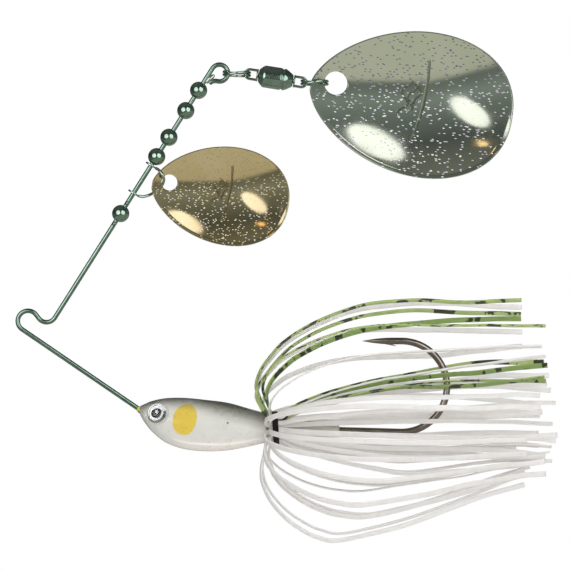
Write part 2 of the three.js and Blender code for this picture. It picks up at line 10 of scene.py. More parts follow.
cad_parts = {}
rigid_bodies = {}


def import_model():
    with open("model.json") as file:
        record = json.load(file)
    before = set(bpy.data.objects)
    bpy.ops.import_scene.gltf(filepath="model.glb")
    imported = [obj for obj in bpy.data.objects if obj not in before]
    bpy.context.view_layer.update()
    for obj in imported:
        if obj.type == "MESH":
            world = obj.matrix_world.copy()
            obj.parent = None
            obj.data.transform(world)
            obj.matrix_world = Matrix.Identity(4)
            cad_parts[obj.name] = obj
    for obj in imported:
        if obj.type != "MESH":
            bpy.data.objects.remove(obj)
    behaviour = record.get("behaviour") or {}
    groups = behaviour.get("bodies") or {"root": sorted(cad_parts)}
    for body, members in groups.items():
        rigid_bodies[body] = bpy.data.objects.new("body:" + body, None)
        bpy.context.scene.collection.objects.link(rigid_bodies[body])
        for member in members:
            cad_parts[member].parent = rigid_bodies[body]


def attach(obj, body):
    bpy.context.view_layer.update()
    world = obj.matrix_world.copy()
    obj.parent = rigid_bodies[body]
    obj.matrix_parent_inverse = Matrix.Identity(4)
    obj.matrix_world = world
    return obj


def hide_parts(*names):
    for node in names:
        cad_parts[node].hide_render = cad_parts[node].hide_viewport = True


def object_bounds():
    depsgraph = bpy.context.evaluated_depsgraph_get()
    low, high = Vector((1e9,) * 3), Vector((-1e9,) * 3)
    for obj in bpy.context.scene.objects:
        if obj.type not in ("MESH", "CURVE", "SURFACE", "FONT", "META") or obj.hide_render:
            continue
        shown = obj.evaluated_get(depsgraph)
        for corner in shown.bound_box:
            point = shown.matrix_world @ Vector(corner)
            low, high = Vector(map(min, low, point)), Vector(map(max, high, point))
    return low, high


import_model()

CAD_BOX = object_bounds()

# The pieces are worked out in millimetres, in the lure's own frame: +X from nose to tail, +Z up, +Y its left.
MM = 0.001
SEED = 7


# ---- the lure's sizes, which repeat the CAD model's ----

WIRE = 0.9
CHAMFER = 0.12
LINE_TIE_RADIUS = 1.94
LOWER_ARM_SLOPE = 34.3
LOWER_ARM_LENGTH = 26.9
DIP_SLOPE = 53
DIP_LENGTH = 0.83
DIP_RADIUS = 1.86
UPPER_ARM_SLOPE = 57.7
UPPER_ARM_LENGTH = 56
EYE_RADIUS = 1.6
TAIL_BEND_RADIUS = 1.6
TAIL_OFFSET = 1.0

BEAD_RADIUS = 1.65
BEAD_HOLE_RADIUS = 0.6
BEAD_PLACES = [51.1, 46.55, 40.55, 36.2]
STOP_BEAD_PLACE = 23.4
SWAGE_OFFSET = 2.3

CLEVIS_TOP = 34.25
CLEVIS_BOTTOM = 28.0
CLEVIS_WIRE = 0.55
CLEVIS_SIDE = 1.0

SILVER = dict(length=39, thickness=0.6, hole=2.2, hole_place=4.85, tip=(53.5, 44.75), slope=9.6)
GOLD = dict(length=26.4, thickness=0.5, hole=1.5, hole_place=3.3, tip=(23.45, 25.95), slope=8.6)
# parts of a blade's length
HOLE_RISE = 0.034
CUP_DEPTH = 0.1
CUP_PLACE = 0.58
CUP_HALF_WIDTH = 0.365
OUTLINE_WIDTH = 0.737
BLUNT_TIP = 0.12
LIP_WIDTH = 0.8
LIP_HEIGHT = 0.15

RING_PITCH = 0.56
RING_WIRE_OUTSIDE = 0.78
RING_WIRE_INSIDE = 0.62
SWIVEL_START = (43.8, 46.65)
SWIVEL_SLOPE = 9.1
BARREL_LENGTH = 6.63
BARREL_RADIUS = 2.1
LOOP_WIRE = 0.5
LOOP_RADIUS = 0.9
LOOP_REACH = 1.65
BALL_COUNT = 6
BALL_RADIUS = 0.3
BALL_PLACE = 5.25
BALL_ORBIT = 0.88

HEAD_START = 21.0
HEAD_END = 45.2
HEAD_AXIS = -20.3
STUB_RADIUS = 1.75
STUB_END = 59.3
STUB_END_RADIUS = 1.25
STUB_DROP = 0.35
EYE_CENTRE = (24.7, 2.62, -17.5)
EYE_TURN = 17
EYE_TILT = 15
SOCKET_FLOOR_RADIUS = 2.15
SOCKET_RADIUS = 2.4
FOIL_RADIUS = 1.95
DOME_RADIUS = 1.9

HOOK_WIRE = 1.3
HOOK_EYE_CENTRE = 33
SHANK_END = (70.7, -21.1)
SHANK_DROP = 1.6
BEND_RADIUS = 8.65
POINT_LENGTH = 7.4

COLLAR_START = 46.5
COLLAR_END = 47.6
COLLAR_RADIUS = 3.15
COLLAR_BORE = 2.84
STRANDS_PER_LAYER = 12
INNER_LAYER = 2.12
OUTER_LAYER = 2.57
STRAND_WIDTH = 1.02
STRAND_THICKNESS = 0.32

# How far each strand's two tails stand from the skirt's axis: the front tail at its widest and at its tip,
# then the rear tail in its middle and at its tip. The strands start beside the top and go round.
INNER_STRANDS = [
    (25.15, 24.7, 8.2, 8.5), (28, 27.7, 11.7, 13.6), (19.5, 17, 5, 5.5), (19.5, 15, 5.2, 6.5),
    (19.5, 11.5, 5.4, 6.8), (21.9, 11, 5.2, 6), (21, 10, 4.6, 3.8), (18.5, 10.4, 5, 4.1),
    (19, 14, 5, 3.6), (19.5, 16.5, 5.5, 9), (26.2, 26.3, 9.5, 10.9), (24.1, 23.8, 8.2, 8)]
OUTER_STRANDS = [
    (22.4, 22, 9.2, 11.8), (18.6, 19.8, 12.9, 17.6), (16.4, 15.5, 9.4, 12.6), (16.4, 13.4, 9.4, 9.8),
    (15.5, 9.6, 9.2, 8.2), (17.8, 8.8, 9, 7.5), (16.5, 7.6, 8.4, 6.2), (14, 8, 8.4, 6.3),
    (16, 10.8, 9, 8.2), (16.4, 14, 9, 11.2), (22.4, 24.2, 13, 16.5), (20.8, 22.4, 10.8, 13.7)]
OUTER_TURN = 8
LAYER_GAP = 0.8
GREEN_STRANDS = ("inner_1", "inner_2", "outer_1", "outer_12")

# The front tail's shape up to its widest. Each row gives a part of the way out from the collar and the
# places along X where the tail reaches it: for a narrow and a wide tail at the top of the skirt, then for
# a narrow and a wide one at the bottom.
FRONT_RISE = [
    (0.076, 46.15, 45.6, 46, 45.8), (0.18, 47.3, 44.4, 46, 45), (0.278, 48.8, 43.7, 46.6, 44.2),
    (0.41, 50.8, 44.5, 47.7, 43.8), (0.544, 53.5, 46.5, 49.3, 44.4), (0.657, 56.3, 48.8, 51.3, 45.4),
    (0.797, 60.5, 53.6, 54.3, 47.7), (0.905, 64.8, 59.3, 57.8, 50.4), (0.968, 69, 65, 61.3, 52.6),
    (1, 72.6, 72.6, 68, 56)]
NARROW = 14
WIDE = 24.3


# ---- geometry helpers ----

def detail(quick, full):
    return full


def mixed(a, b, part):
    return a + (b - a) * part


def heading(degrees):
    return Vector((cos(radians(degrees)), 0, sin(radians(degrees))))


def at(x, z, y=0.0):
    return Vector((x, y, z))


def beyond(point, degrees, distance):
    return point + heading(degrees) * distance


def placed(point, degrees):
    """Turned about Y, then moved to the point."""
    return Matrix.Translation(point) @ Matrix.Rotation(radians(degrees), 4, "Y")


def circle(count):
    return [2 * pi * k / count for k in range(count)]


def on_circle(radius, angle):
    return (radius * cos(angle), radius * sin(angle))


def arc(centre, radius, start, end, steps):
    return [beyond(centre, start + (end - start) * i / steps, radius) for i in range(steps + 1)]


def straight(start, end, steps):
    return [start.lerp(end, i / steps) for i in range(steps + 1)]


def smooth_route(controls, steps):
    """Points on a Catmull-Rom curve through the control points."""
    ends = [2 * controls[0] - controls[1], *controls, 2 * controls[-1] - controls[-2]]
    points = []
    for k in range(1, len(ends) - 2):
        a, b, c, d = ends[k - 1:k + 3]
        for i in range(steps):
            t = i / steps
            points.append(0.5 * (2 * b + (c - a) * t + (2 * a - 5 * b + 4 * c - d) * t ** 2
                                 + (3 * b - a - 3 * c + d) * t ** 3))
    points.append(controls[-1].copy())
    return points


def spaced(points, spacing):
    """The same route with its points an even distance apart."""
    lengths = [0.0]
    for a, b in zip(points, points[1:]):
        lengths.append(lengths[-1] + (b - a).length)
    count = max(2, round(lengths[-1] / spacing))
    out, k = [], 0
    for i in range(count + 1):
        target = lengths[-1] * i / count
        while k < len(points) - 2 and lengths[k + 1] < target:
            k += 1
        span = lengths[k + 1] - lengths[k]
        out.append(points[k].lerp(points[k + 1], (target - lengths[k]) / span if span else 0))
    return out


class Shell:
    """Vertices, faces and UVs of one piece, gathered from several parts."""

    def __init__(self):
        self.points = []
        self.faces = []
        self.uvs = []
        self.materials = []

    def add(self, points, faces, uvs, material=0):
        start = len(self.points)
        self.points += points
        self.faces += [tuple(start + i for i in face) for face in faces]
        self.uvs += uvs
        self.materials += [material] * len(faces)
        return self

    def join(self, other, material=0):
        return self.add(other.points, other.faces, other.uvs, material)

    def turned(self, matrix):
        self.points = [matrix @ p for p in self.points]
        return self


def ring_faces(rings, sides, closed=False):
    """Faces and UVs between rings of points, each ring with the same number of sides."""
    faces, uvs = [], []
    for i in range(rings if closed else rings - 1):
        for k in range(sides):
            a, b = i * sides + k, i * sides + (k + 1) % sides
            c, d = ((i + 1) % rings) * sides + (k + 1) % sides, ((i + 1) % rings) * sides + k
            faces.append((a, b, c, d))
            uvs.append([(i, k / sides), (i, (k + 1) / sides), (i + 1, (k + 1) / sides), (i + 1, k / sides)])
    return faces, uvs


MAP_SCALE = 0.1


def sweep(route, section, side=None):
    """A closed tube. section(i, t) gives the corners, and side is a direction that their width follows."""
    tangents = []
    for i in range(len(route)):
        before = route[i] - route[max(i - 1, 0)]
        after = route[min(i + 1, len(route) - 1)] - route[i]
        tangents.append((before.normalized() + after.normalized()).normalized())
    across = side or (Vector((0, 1, 0)) if abs(tangents[0].y) < 0.9 else Vector((1, 0, 0)))
    points, length, lengths = [], 0.0, []
    sides = len(section(0, 0.0))
    for i, (point, tangent) in enumerate(zip(route, tangents)):
        across = (across - tangent * across.dot(tangent)).normalized()
        up = tangent.cross(across)
        length += (point - route[i - 1]).length if i else 0.0
        lengths.append(length)
        for a, b in section(i, i / (len(route) - 1)):
            points.append(point + across * a + up * b)
    faces, uvs = ring_faces(len(route), sides)
    faces = [tuple(reversed(face)) for face in faces]
    uvs = [[(lengths[u] * MAP_SCALE, v) for u, v in reversed(corners)] for corners in uvs]
    faces += [tuple(range(sides)), tuple(reversed(range(len(points) - sides, len(points))))]
    uvs += [[(0, 0)] * sides, [(length * MAP_SCALE, 0)] * sides]
    return Shell().add(points, faces, uvs)


def round_section(radius, sides=16):
    def corners(i, t):
        r = radius(t) if callable(radius) else radius
        return [on_circle(r, angle) for angle in circle(sides)]
    return corners


def flat_section(width, thickness, corner, steps):
    """A rectangle with round corners."""
    r = min(width, thickness) * corner
    shape = []
    for cx, cy, start in ((1, 1, 0), (-1, 1, 90), (-1, -1, 180), (1, -1, 270)):
        for k in range(steps):
            angle = radians(start + 90 * k / (steps - 1))
            shape.append((cx * (width / 2 - r) + r * cos(angle),
                          cy * (thickness / 2 - r) + r * sin(angle)))
    return shape


def lathe(profile, segments=48, closed=True):
    """A profile of (place, radius) turned about X. A radius of 0 ends it on the axis."""
    points = [Vector((place, *on_circle(radius, angle)))
              for place, radius in profile for angle in circle(segments)]
    return Shell().add(points, *ring_faces(len(profile), segments, closed))


def rounded(profile, radius, steps=4, closed=True):
    """A profile with its corners rounded."""
    out = []
    count = len(profile)
    for i, corner in enumerate(profile):
        if not closed and i in (0, count - 1):
            out.append(corner)
            continue
        p = Vector(corner)
        a = Vector(profile[i - 1]) - p
        b = Vector(profile[(i + 1) % count]) - p
        r = min(radius, a.length * 0.45, b.length * 0.45)
        start, end = p + a.normalized() * r, p + b.normalized() * r
        for k in range(steps + 1):
            t = k / steps
            out.append(tuple((1 - t) ** 2 * start + 2 * t * (1 - t) * p + t ** 2 * end))
    return out


def make(name, shell, body, slot, *nodes, materials=()):
    """A piece in the material that has its slot's name, unless it is given others."""
    mesh = bpy.data.meshes.new(name)
    mesh.from_pydata([p * MM for p in shell.points], [], shell.faces)
    uv = mesh.uv_layers.new(name="UVMap")
    flat = [place for corners in shell.uvs for place in corners]
    for loop, value in zip(uv.data, flat):
        loop.uv = value
    for material in materials or (slot,):
        mesh.materials.append(MATERIALS[material])
    for polygon, index in zip(mesh.polygons, shell.materials):
        polygon.material_index = index
        polygon.use_smooth = True
    mesh.validate()
    mesh.update()
    obj = bpy.data.objects.new(name, mesh)
    bpy.context.scene.collection.objects.link(obj)
    clean(mesh)
    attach(obj, body)
    if nodes:
        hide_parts(*nodes)
    return obj


def clean(mesh):
    """Joins the vertices that meet at a lathe's axis and turns every face outwards."""
    bm = bmesh.new()
    bm.from_mesh(mesh)
    bmesh.ops.remove_doubles(bm, verts=bm.verts, dist=1e-8)
    bmesh.ops.recalc_face_normals(bm, faces=bm.faces)
    bm.to_mesh(mesh)
    bm.free()


# ---- material helpers ----

SOCKETS = {"color": "Base Color", "metallic": "Metallic", "roughness": "Roughness", "normal": "Normal",
           "coat": "Coat Weight", "coat_roughness": "Coat Roughness", "ior": "IOR",
           "transmission": "Transmission Weight", "subsurface": "Subsurface Weight",
           "radius": "Subsurface Radius", "scatter": "Subsurface Scale", "specular": "Specular IOR Level",
           "emission": "Emission Color", "glow": "Emission Strength"}


class Graph:
    """The nodes of one material, or of the world."""

    def __init__(self, name, world=False):
        self.owner = (bpy.data.worlds if world else bpy.data.materials).new(name)
        self.owner.use_nodes = True
        self.tree = self.owner.node_tree
        self.tree.nodes.clear()
        self.output = self.add("OutputWorld" if world else "OutputMaterial")
        maps = self.add("TexCoord").outputs
        self.places = maps["Object"]
        self.uv = maps["UV"]
        self.generated = maps["Generated"]

    def add(self, kind, inputs=None, **settings):
        node = self.tree.nodes.new("ShaderNode" + kind)
        for key, value in settings.items():
            setattr(node, key, value)
        for key, value in (inputs or {}).items():
            socket = node.inputs[key]
            if isinstance(value, bpy.types.NodeSocket):
                self.tree.links.new(value, socket)
            elif socket.type == "RGBA":
                socket.default_value = (*value, 1)
            else:
                socket.default_value = value
        return node

    def math(self, operation, a, b=0.0, clamp=False):
        return self.add("Math", {0: a, 1: b}, operation=operation, use_clamp=clamp).outputs[0]

    def plus(self, a, b):
        return self.math("ADD", a, b)

    def minus(self, a, b):
        return self.math("SUBTRACT", a, b)

    def times(self, a, b):
        return self.math("MULTIPLY", a, b)

    def gap(self, a, b):
        return self.math("ABSOLUTE", self.minus(a, b))

    def reach(self, a, b):
        """How far the point (a, b) is from the middle."""
        return self.math("SQRT", self.plus(self.times(a, a), self.times(b, b)))

    def split(self, vector):
        return self.add("SeparateXYZ", {0: vector}).outputs

    def noise(self, scale, detail=4.0, roughness=0.5, vector=None):
        return self.add("TexNoise", {"Vector": vector or self.places, "Scale": scale, "Detail": detail,
                                     "Roughness": roughness}).outputs["Fac"]

    def ramp(self, value, stops, mode="LINEAR"):
        node = self.add("ValToRGB", {"Fac": value})
        node.color_ramp.interpolation = mode
        elements = node.color_ramp.elements
        while len(elements) < len(stops):
            elements.new(0.5)
        for element, (place, color) in zip(elements, stops):
            element.position = place
            element.color = (*color, 1)
        return node.outputs["Color"]

    def span(self, value, low, high, to_low=0.0, to_high=1.0):
        return self.add("MapRange", {"Value": value, "From Min": low, "From Max": high,
                                     "To Min": to_low, "To Max": to_high}, clamp=True).outputs["Result"]

    def drift(self, cloud, low=0.0, high=1.0):
        return self.span(cloud, 0.3, 0.7, low, high)

    def cloudy(self, scale, detail, low=0.0, high=1.0):
        """A value that drifts between low and high over the surface."""
        return self.drift(self.noise(scale, detail), low, high)

    def mix(self, factor, a, b):
        return self.add("Mix", {"Factor": factor, 6: a, 7: b}, data_type="RGBA").outputs[2]

    def mapped(self, vector=None, scale=(1, 1, 1), turn=(0, 0, 0), move=(0, 0, 0)):
        return self.add("Mapping", {"Vector": vector or self.places, "Scale": scale, "Rotation": turn,
                                    "Location": move}).outputs[0]

    def bump(self, height, distance, strength=1.0):
        return self.add("Bump", {"Height": height, "Distance": distance, "Strength": strength}).outputs[0]

    def surface(self, shader):
        self.tree.links.new(shader.outputs[0], self.output.inputs["Surface"])
        return self.owner

    def finish(self, **inputs):
        return self.surface(self.add("BsdfPrincipled", {SOCKETS[key]: inputs[key] for key in inputs}))


# ---- materials ----

def black_nickel(name, dark, light, polished, worn):
    """Thin dark plating with cloudy tone, fine drawn scratches and small worn spots."""
    g = Graph(name)
    cloud = g.noise(700, 5, 0.6)
    color = g.mix(g.span(cloud, 0.25, 0.75), dark, light)
    wear = g.span(g.noise(2600, 2), 0.70, 0.82)
    color = g.mix(g.times(wear, 0.6), color, (0.45, 0.50, 0.43))
    scratches = g.noise(1.0, 3, 0.7, g.mapped(scale=(9000, 9000, 1500), turn=(0, 0.5, 0)))
    normal = g.bump(g.plus(scratches, g.times(cloud, 0.7)), 0.00001, 0.16)
    return g.finish(color=color, metallic=1.0, roughness=g.cloudy(1500, 3, polished, worn), normal=normal)


def glitter(g):
    """Small round flecks in three turned grids of cells, and a random value for each cell's colour."""
    flecks = hue = None
    for k, turn in enumerate((0.3, 1.4, 2.4)):
        grid = g.mapped(g.uv, (34.0, 78.0, 1.0), (0, 0, turn), (k * 1.7, k * 0.9, 0))
        cells = g.add("TexVoronoi", {"Vector": grid, "Scale": 1.0, "Randomness": 1.0},
                      voronoi_dimensions="2D")
        chosen = g.add("SeparateColor", {0: cells.outputs["Color"]})
        near = g.math("LESS_THAN", cells.outputs["Distance"], 0.2)
        spot = g.times(near, g.math("GREATER_THAN", chosen.outputs[0], 0.83))
        flecks = g.math("MAXIMUM", flecks, spot) if flecks else spot
        hue = hue or chosen.outputs[1]
    return flecks, hue


MOTIF_PLACE = (0.504, 0.5245)
MOTIF_TURN = -87
WAVES = 3


def engraving(g):
    """Three short waves side by side over a long fine stroke, all on a slant."""
    turned = g.mapped(g.uv, move=(-MOTIF_PLACE[0], -MOTIF_PLACE[1], 0))
    turned = g.add("VectorRotate", {"Vector": turned, "Angle": radians(MOTIF_TURN)},
                   rotation_type="Z_AXIS").outputs[0]
    along, across, _ = g.split(turned)
    strokes = []
    for k in range(WAVES):
        wave = g.math("SINE", g.plus(g.times(along, 58.0 + 6 * k), 1.1 * k))
        height = g.plus(g.times(wave, 0.020 - 0.004 * k), 0.035 - 0.03 * k)
        strokes.append((height, 0.105 - 0.02 * k, 0.012 * k))
    strokes.append((g.plus(g.times(g.times(along, along), 0.5), -0.062), 0.21, 0.0))
    lines = None
    for height, reach, shift in strokes:
        line = g.span(g.gap(across, height), 0.0030, 0.0080, 1.0, 0.0)
        line = g.times(line, g.span(g.gap(along, shift), reach - 0.02, reach, 1.0, 0.0))
        lines = g.math("MAXIMUM", lines, line) if lines else line
    return lines


def plated_blade(name, base, tint, fleck_one, fleck_two, fleck_upper):
    """Polished plate under a clear coat, with flecks of glitter and a shallow engraved motif."""
    g = Graph(name)
    tone = g.mix(g.span(g.noise(160, 4), 0.35, 0.65), base, tint)
    flecks, hue = glitter(g)
    spark = g.mix(g.span(hue, 0.35, 0.65), fleck_one, fleck_two)
    u, v, _ = g.split(g.uv)
    upper = g.span(g.minus(v, g.times(u, 0.25)), 0.44, 0.50)
    spark = g.mix(upper, spark, fleck_upper)
    lines = engraving(g)
    color = g.mix(flecks, tone, spark)
    # the engraved lines are darkened: painted shade in their grooves
    color = g.mix(g.times(lines, 0.5), color, (0.12, 0.12, 0.1))
    scratches = g.noise(1.0, 2, 0.6, g.mapped(scale=(200, 200, 4200), turn=(0, 0.17, 0)))
    roughness = g.plus(g.cloudy(220, 3, 0.07, 0.15), g.plus(g.times(flecks, 0.25), g.times(lines, 0.2)))
    normal = g.bump(g.minus(g.times(scratches, 0.008), lines), 0.00022, 0.8)
    return g.finish(color=color, metallic=g.minus(1.0, g.times(flecks, 0.8)), roughness=roughness,
                    normal=normal, coat=0.35, coat_roughness=0.06)


def bronze(name):
    """Smooth brown metal with fine scratches along it."""
    g = Graph(name)
    cloud = g.noise(500, 5, 0.6)
    color = g.mix(g.drift(cloud), (0.20, 0.165, 0.15), (0.29, 0.25, 0.225))
    scratches = g.noise(1.0, 3, 0.7, g.mapped(scale=(700, 6000, 6000)))
    normal = g.bump(g.plus(scratches, cloud), 0.00001, 0.15)
    return g.finish(color=color, metallic=1.0, roughness=g.cloudy(1800, 3, 0.16, 0.28), normal=normal)


def head_paint(name):
    """Pearl paint: a dark back that fades down the sides, a pink belly and a yellow cheek, under gloss."""
    g = Graph(name)
    x, _, z = g.split(g.mapped(scale=(1 / MM, 1 / MM, 1 / MM)))
    # the height below the head's own back line, which climbs from the nose and drops towards the tail
    climb = g.times(g.math("MAXIMUM", g.minus(26.0, x), 0.0), -0.27)
    drop = g.times(g.math("MAXIMUM", g.minus(g.math("MINIMUM", x, 45.0), 31.0), 0.0), -0.2)
    crest = g.plus(g.plus(climb, drop), -14.65)
    soft = g.times(g.minus(g.noise(900, 4), 0.5), 0.5)
    below = g.plus(g.minus(z, crest), soft)
    color = g.mix(g.cloudy(350, 3), (0.78, 0.755, 0.71), (0.71, 0.695, 0.655))
    color = g.mix(g.span(z, -24.8, -22.4, 1.0, 0.0), color, (0.84, 0.72, 0.68))
    # the cheek is a leaning oval with a slightly ragged edge
    cheek_z = g.math("DIVIDE", g.minus(z, -18.6), 3.05)
    cheek_x = g.math("DIVIDE", g.minus(g.minus(x, 29.9), g.times(cheek_z, 0.35)), 2.35)
    edge = g.plus(g.reach(cheek_x, cheek_z), g.times(g.minus(g.noise(500, 2), 0.5), 0.22))
    color = g.mix(g.span(edge, 0.94, 1.01, 0.95, 0.0), color, (0.80, 0.57, 0.04))
    back = g.mix(g.span(g.noise(1500, 4), 0.35, 0.65), (0.050, 0.055, 0.038), (0.085, 0.088, 0.062))
    thick = g.span(x, 30.0, 45.0, 2.6, 3.5)
    shade = g.math("ADD", g.math("DIVIDE", below, thick), 1.0, clamp=True)
    shade = g.times(g.math("POWER", shade, g.span(x, 28.0, 44.0, 1.7, 0.85)), 0.97)
    color = g.mix(shade, color, back)
    # one fleck of dark paint on each side
    fleck = g.reach(g.minus(x, 38.0), g.minus(z, -19.2))
    color = g.mix(g.span(fleck, 0.14, 0.22, 0.9, 0.0), color, (0.03, 0.03, 0.03))
    flake = g.add("TexVoronoi", {"Vector": g.places, "Scale": 9000.0}).outputs["Color"]
    sparkle = g.add("SeparateColor", {0: flake}).outputs[0]
    normal = g.bump(g.plus(g.noise(260, 3), g.times(g.noise(6000, 2), 0.05)), 0.00008, 0.25)
    return g.finish(color=color, metallic=g.span(sparkle, 0.6, 1.0, 0.02, 0.2),
                    roughness=g.cloudy(600, 3, 0.24, 0.38), normal=normal, coat=0.9, coat_roughness=0.05)


def eye_print(name):
    """Rings printed on foil: white outside, a dark line, silver inside and an oval pupil."""
    g = Graph(name)
    centred = g.add("VectorMath", {0: g.uv, 1: (0.5, 0.5, 0)}, operation="SUBTRACT").outputs[0]
    radius = g.add("VectorMath", {0: centred}, operation="LENGTH").outputs["Value"]
    rings = g.ramp(g.times(radius, 2.0), [(0.0, (0.74, 0.75, 0.76)), (0.72, (0.05, 0.05, 0.05)),
                                          (0.77, (0.94, 0.94, 0.92)), (0.985, (0.25, 0.25, 0.24))],
                   "CONSTANT")
    oval = g.add("VectorMath", {0: centred, 1: (1.0, 1.2, 1.0)}, operation="MULTIPLY").outputs[0]
    inner = g.add("VectorMath", {0: oval}, operation="LENGTH").outputs["Value"]
    color = g.mix(g.span(g.noise(1500, 2), 0.35, 0.65, 0.0, 0.12), rings, (0.55, 0.57, 0.60))
    color = g.mix(g.span(inner, 0.268, 0.28, 1.0, 0.0), color, (0.006, 0.006, 0.006))
    ring = g.span(g.gap(radius, 0.36), 0.0, 0.02, 1.0, 0.0)
    normal = g.bump(g.plus(ring, g.times(g.noise(1200, 1), 0.2)), 0.000004, 0.2)
    return g.finish(color=color, metallic=g.span(radius, 0.28, 0.37, 0.3, 0.0),
                    roughness=g.cloudy(2500, 2, 0.3, 0.5), normal=normal)


def clear_dome(name):
    """Clear resin with a faint haze."""
    g = Graph(name)
    haze = g.noise(900, 3)
    color = g.mix(g.drift(haze), (1.0, 1.0, 0.99), (0.96, 0.98, 0.98))
    return g.finish(color=color, transmission=1.0, ior=1.45, roughness=g.drift(haze, 0.012, 0.03))


def rubber(name):
    """Dull black rubber."""
    g = Graph(name)
    cloud = g.noise(1400, 5, 0.65)
    color = g.mix(g.drift(cloud), (0.006, 0.006, 0.006), (0.016, 0.016, 0.015))
    return g.finish(color=color, roughness=g.drift(cloud, 0.42, 0.62),
                    normal=g.bump(g.noise(5000, 3), 0.00004, 0.5), specular=0.2)


def silicone(name, pale, deep, edge, bars):
    """Cloudy silicone rubber in two tones side by side, with dark printed marks across it if it has bars."""
    g = Graph(name)
    length, around, _ = g.split(g.uv)
    chance = g.add("ObjectInfo").outputs["Random"]
    shift = g.times(chance, 40.0)
    along = g.plus(g.times(length, 1 / MAP_SCALE), shift)
    place = g.add("CombineXYZ", {0: along, 1: g.times(around, 2.0), 2: shift}).outputs[0]
    cloud = g.noise(0.45, 4, 0.55, place)
    color = g.mix(g.drift(cloud), pale, deep)
    tone = g.span(g.math("SINE", g.times(g.plus(around, chance), 6.283)), -0.15, 0.15)
    color = g.mix(g.times(tone, 0.7), color, edge)
    if bars:
        smear = g.add("CombineXYZ", {0: g.times(along, 0.36), 1: g.times(around, 1.5), 2: shift}).outputs[0]
        marks = g.span(g.noise(1.0, 2.5, 0.6, smear), 0.55, 0.575)
        color = g.mix(g.times(marks, 0.93), color, (0.018, 0.02, 0.014))
    flecks = g.span(g.noise(5.0, 1, 0.5, place), 0.72, 0.77)
    color = g.mix(g.times(flecks, 0.3), color, (0.32, 0.33, 0.30))
    normal = g.bump(g.plus(cloud, g.times(g.noise(3.5, 2, 0.5, place), 0.35)), 0.00012, 0.5)
    return g.finish(color=color, roughness=g.drift(cloud, 0.28, 0.45), normal=normal,
                    subsurface=0.45, radius=(0.9, 0.9, 0.85), scatter=0.0006, coat=0.15, coat_roughness=0.2)


def polished_steel(name):
    """Bright ball steel."""
    g = Graph(name)
    cloud = g.noise(2200, 3)
    return g.finish(color=g.mix(cloud, (0.55, 0.56, 0.58), (0.75, 0.75, 0.76)), metallic=1.0,
                    roughness=g.drift(cloud, 0.08, 0.2), normal=g.bump(cloud, 0.00001, 0.3))


def nose_paint(name):
    """The bead of paint where the wire leaves the nose: yellow with a red side."""
    g = Graph(name)
    height = g.split(g.generated)[2]
    red = g.span(g.plus(height, g.times(g.noise(1400, 3), 0.3)), 0.5, 0.6, 1.0, 0.0)
    color = g.mix(red, (0.58, 0.66, 0.04), (0.42, 0.09, 0.05))
    return g.finish(color=color, roughness=g.span(red, 0.0, 1.0, 0.25, 0.4),
                    normal=g.bump(g.noise(2500, 3), 0.00005, 0.5), coat=0.6, coat_roughness=0.1)


def paper(name):
    """The floor's matt white paper."""
    g = Graph(name)
    color = g.mix(g.cloudy(40, 4), (0.90, 0.90, 0.89), (0.86, 0.86, 0.86))
    return g.finish(color=color, roughness=g.cloudy(60, 2, 0.55, 0.7),
                    normal=g.bump(g.noise(900, 3), 0.0001, 0.2), emission=(1.0, 1.0, 1.0), glow=0.12)


RECIPES = {
    "black_nickel_wire": (black_nickel, (0.14, 0.22, 0.175), (0.23, 0.33, 0.27), 0.14, 0.24),
    "black_nickel_bead": (black_nickel, (0.20, 0.29, 0.235), (0.29, 0.38, 0.32), 0.07, 0.13),
    "black_nickel_swivel": (black_nickel, (0.20, 0.29, 0.24), (0.32, 0.41, 0.35), 0.10, 0.18),
    "black_nickel_ring": (black_nickel, (0.22, 0.30, 0.25), (0.34, 0.43, 0.37), 0.14, 0.26),
    "clevis_wire": (black_nickel, (0.27, 0.37, 0.32), (0.40, 0.50, 0.44), 0.12, 0.24),
    "solder": (black_nickel, (0.30, 0.32, 0.28), (0.50, 0.52, 0.46), 0.2, 0.4),
    "silver_blade": (plated_blade, (0.77, 0.81, 0.67), (0.82, 0.85, 0.73), (0.95, 0.95, 0.93),
                     (0.60, 0.55, 0.68), (0.16, 0.13, 0.21)),
    "gold_blade": (plated_blade, (0.85, 0.67, 0.38), (0.90, 0.73, 0.45), (0.90, 0.72, 0.34),
                   (0.95, 0.95, 0.88), (0.38, 0.27, 0.10)),
    "hook_bronze": (bronze,),
    "head_paint": (head_paint,),
    "nose_paint": (nose_paint,),
    "eye_foil": (eye_print,),
    "eye_dome": (clear_dome,),
    "collar_rubber": (rubber,),
    "strand_green": (silicone, (0.50, 0.60, 0.26), (0.38, 0.49, 0.17), (0.20, 0.31, 0.09), True),
    "strand_white": (silicone, (0.91, 0.865, 0.85), (0.83, 0.785, 0.77), (0.94, 0.905, 0.89), False),
    "ball_steel": (polished_steel,),
    "paper": (paper,),
}
MATERIALS = {name: recipe(name, *values) for name, (recipe, *values) in RECIPES.items()}


# ---- the wire's route ----

DIP_TURN = 90 - DIP_SLOPE
DIP_CENTRE = beyond(beyond(at(0, 0), DIP_TURN, LINE_TIE_RADIUS + DIP_RADIUS), -DIP_SLOPE, DIP_LENGTH)
ARM_SIDE = UPPER_ARM_SLOPE - 90
ARM_START = beyond(DIP_CENTRE, ARM_SIDE, DIP_RADIUS)


def along_arm(distance):
    return beyond(ARM_START, UPPER_ARM_SLOPE, distance)


WIRE_EYE = beyond(along_arm(UPPER_ARM_LENGTH), ARM_SIDE, EYE_RADIUS)
NOSE = beyond(beyond(at(0, 0), 270 - LOWER_ARM_SLOPE, LINE_TIE_RADIUS), -LOWER_ARM_SLOPE, LOWER_ARM_LENGTH)
FOOT_HEIGHT = HEAD_AXIS + 0.25
FOOT_SIDE = -1.25


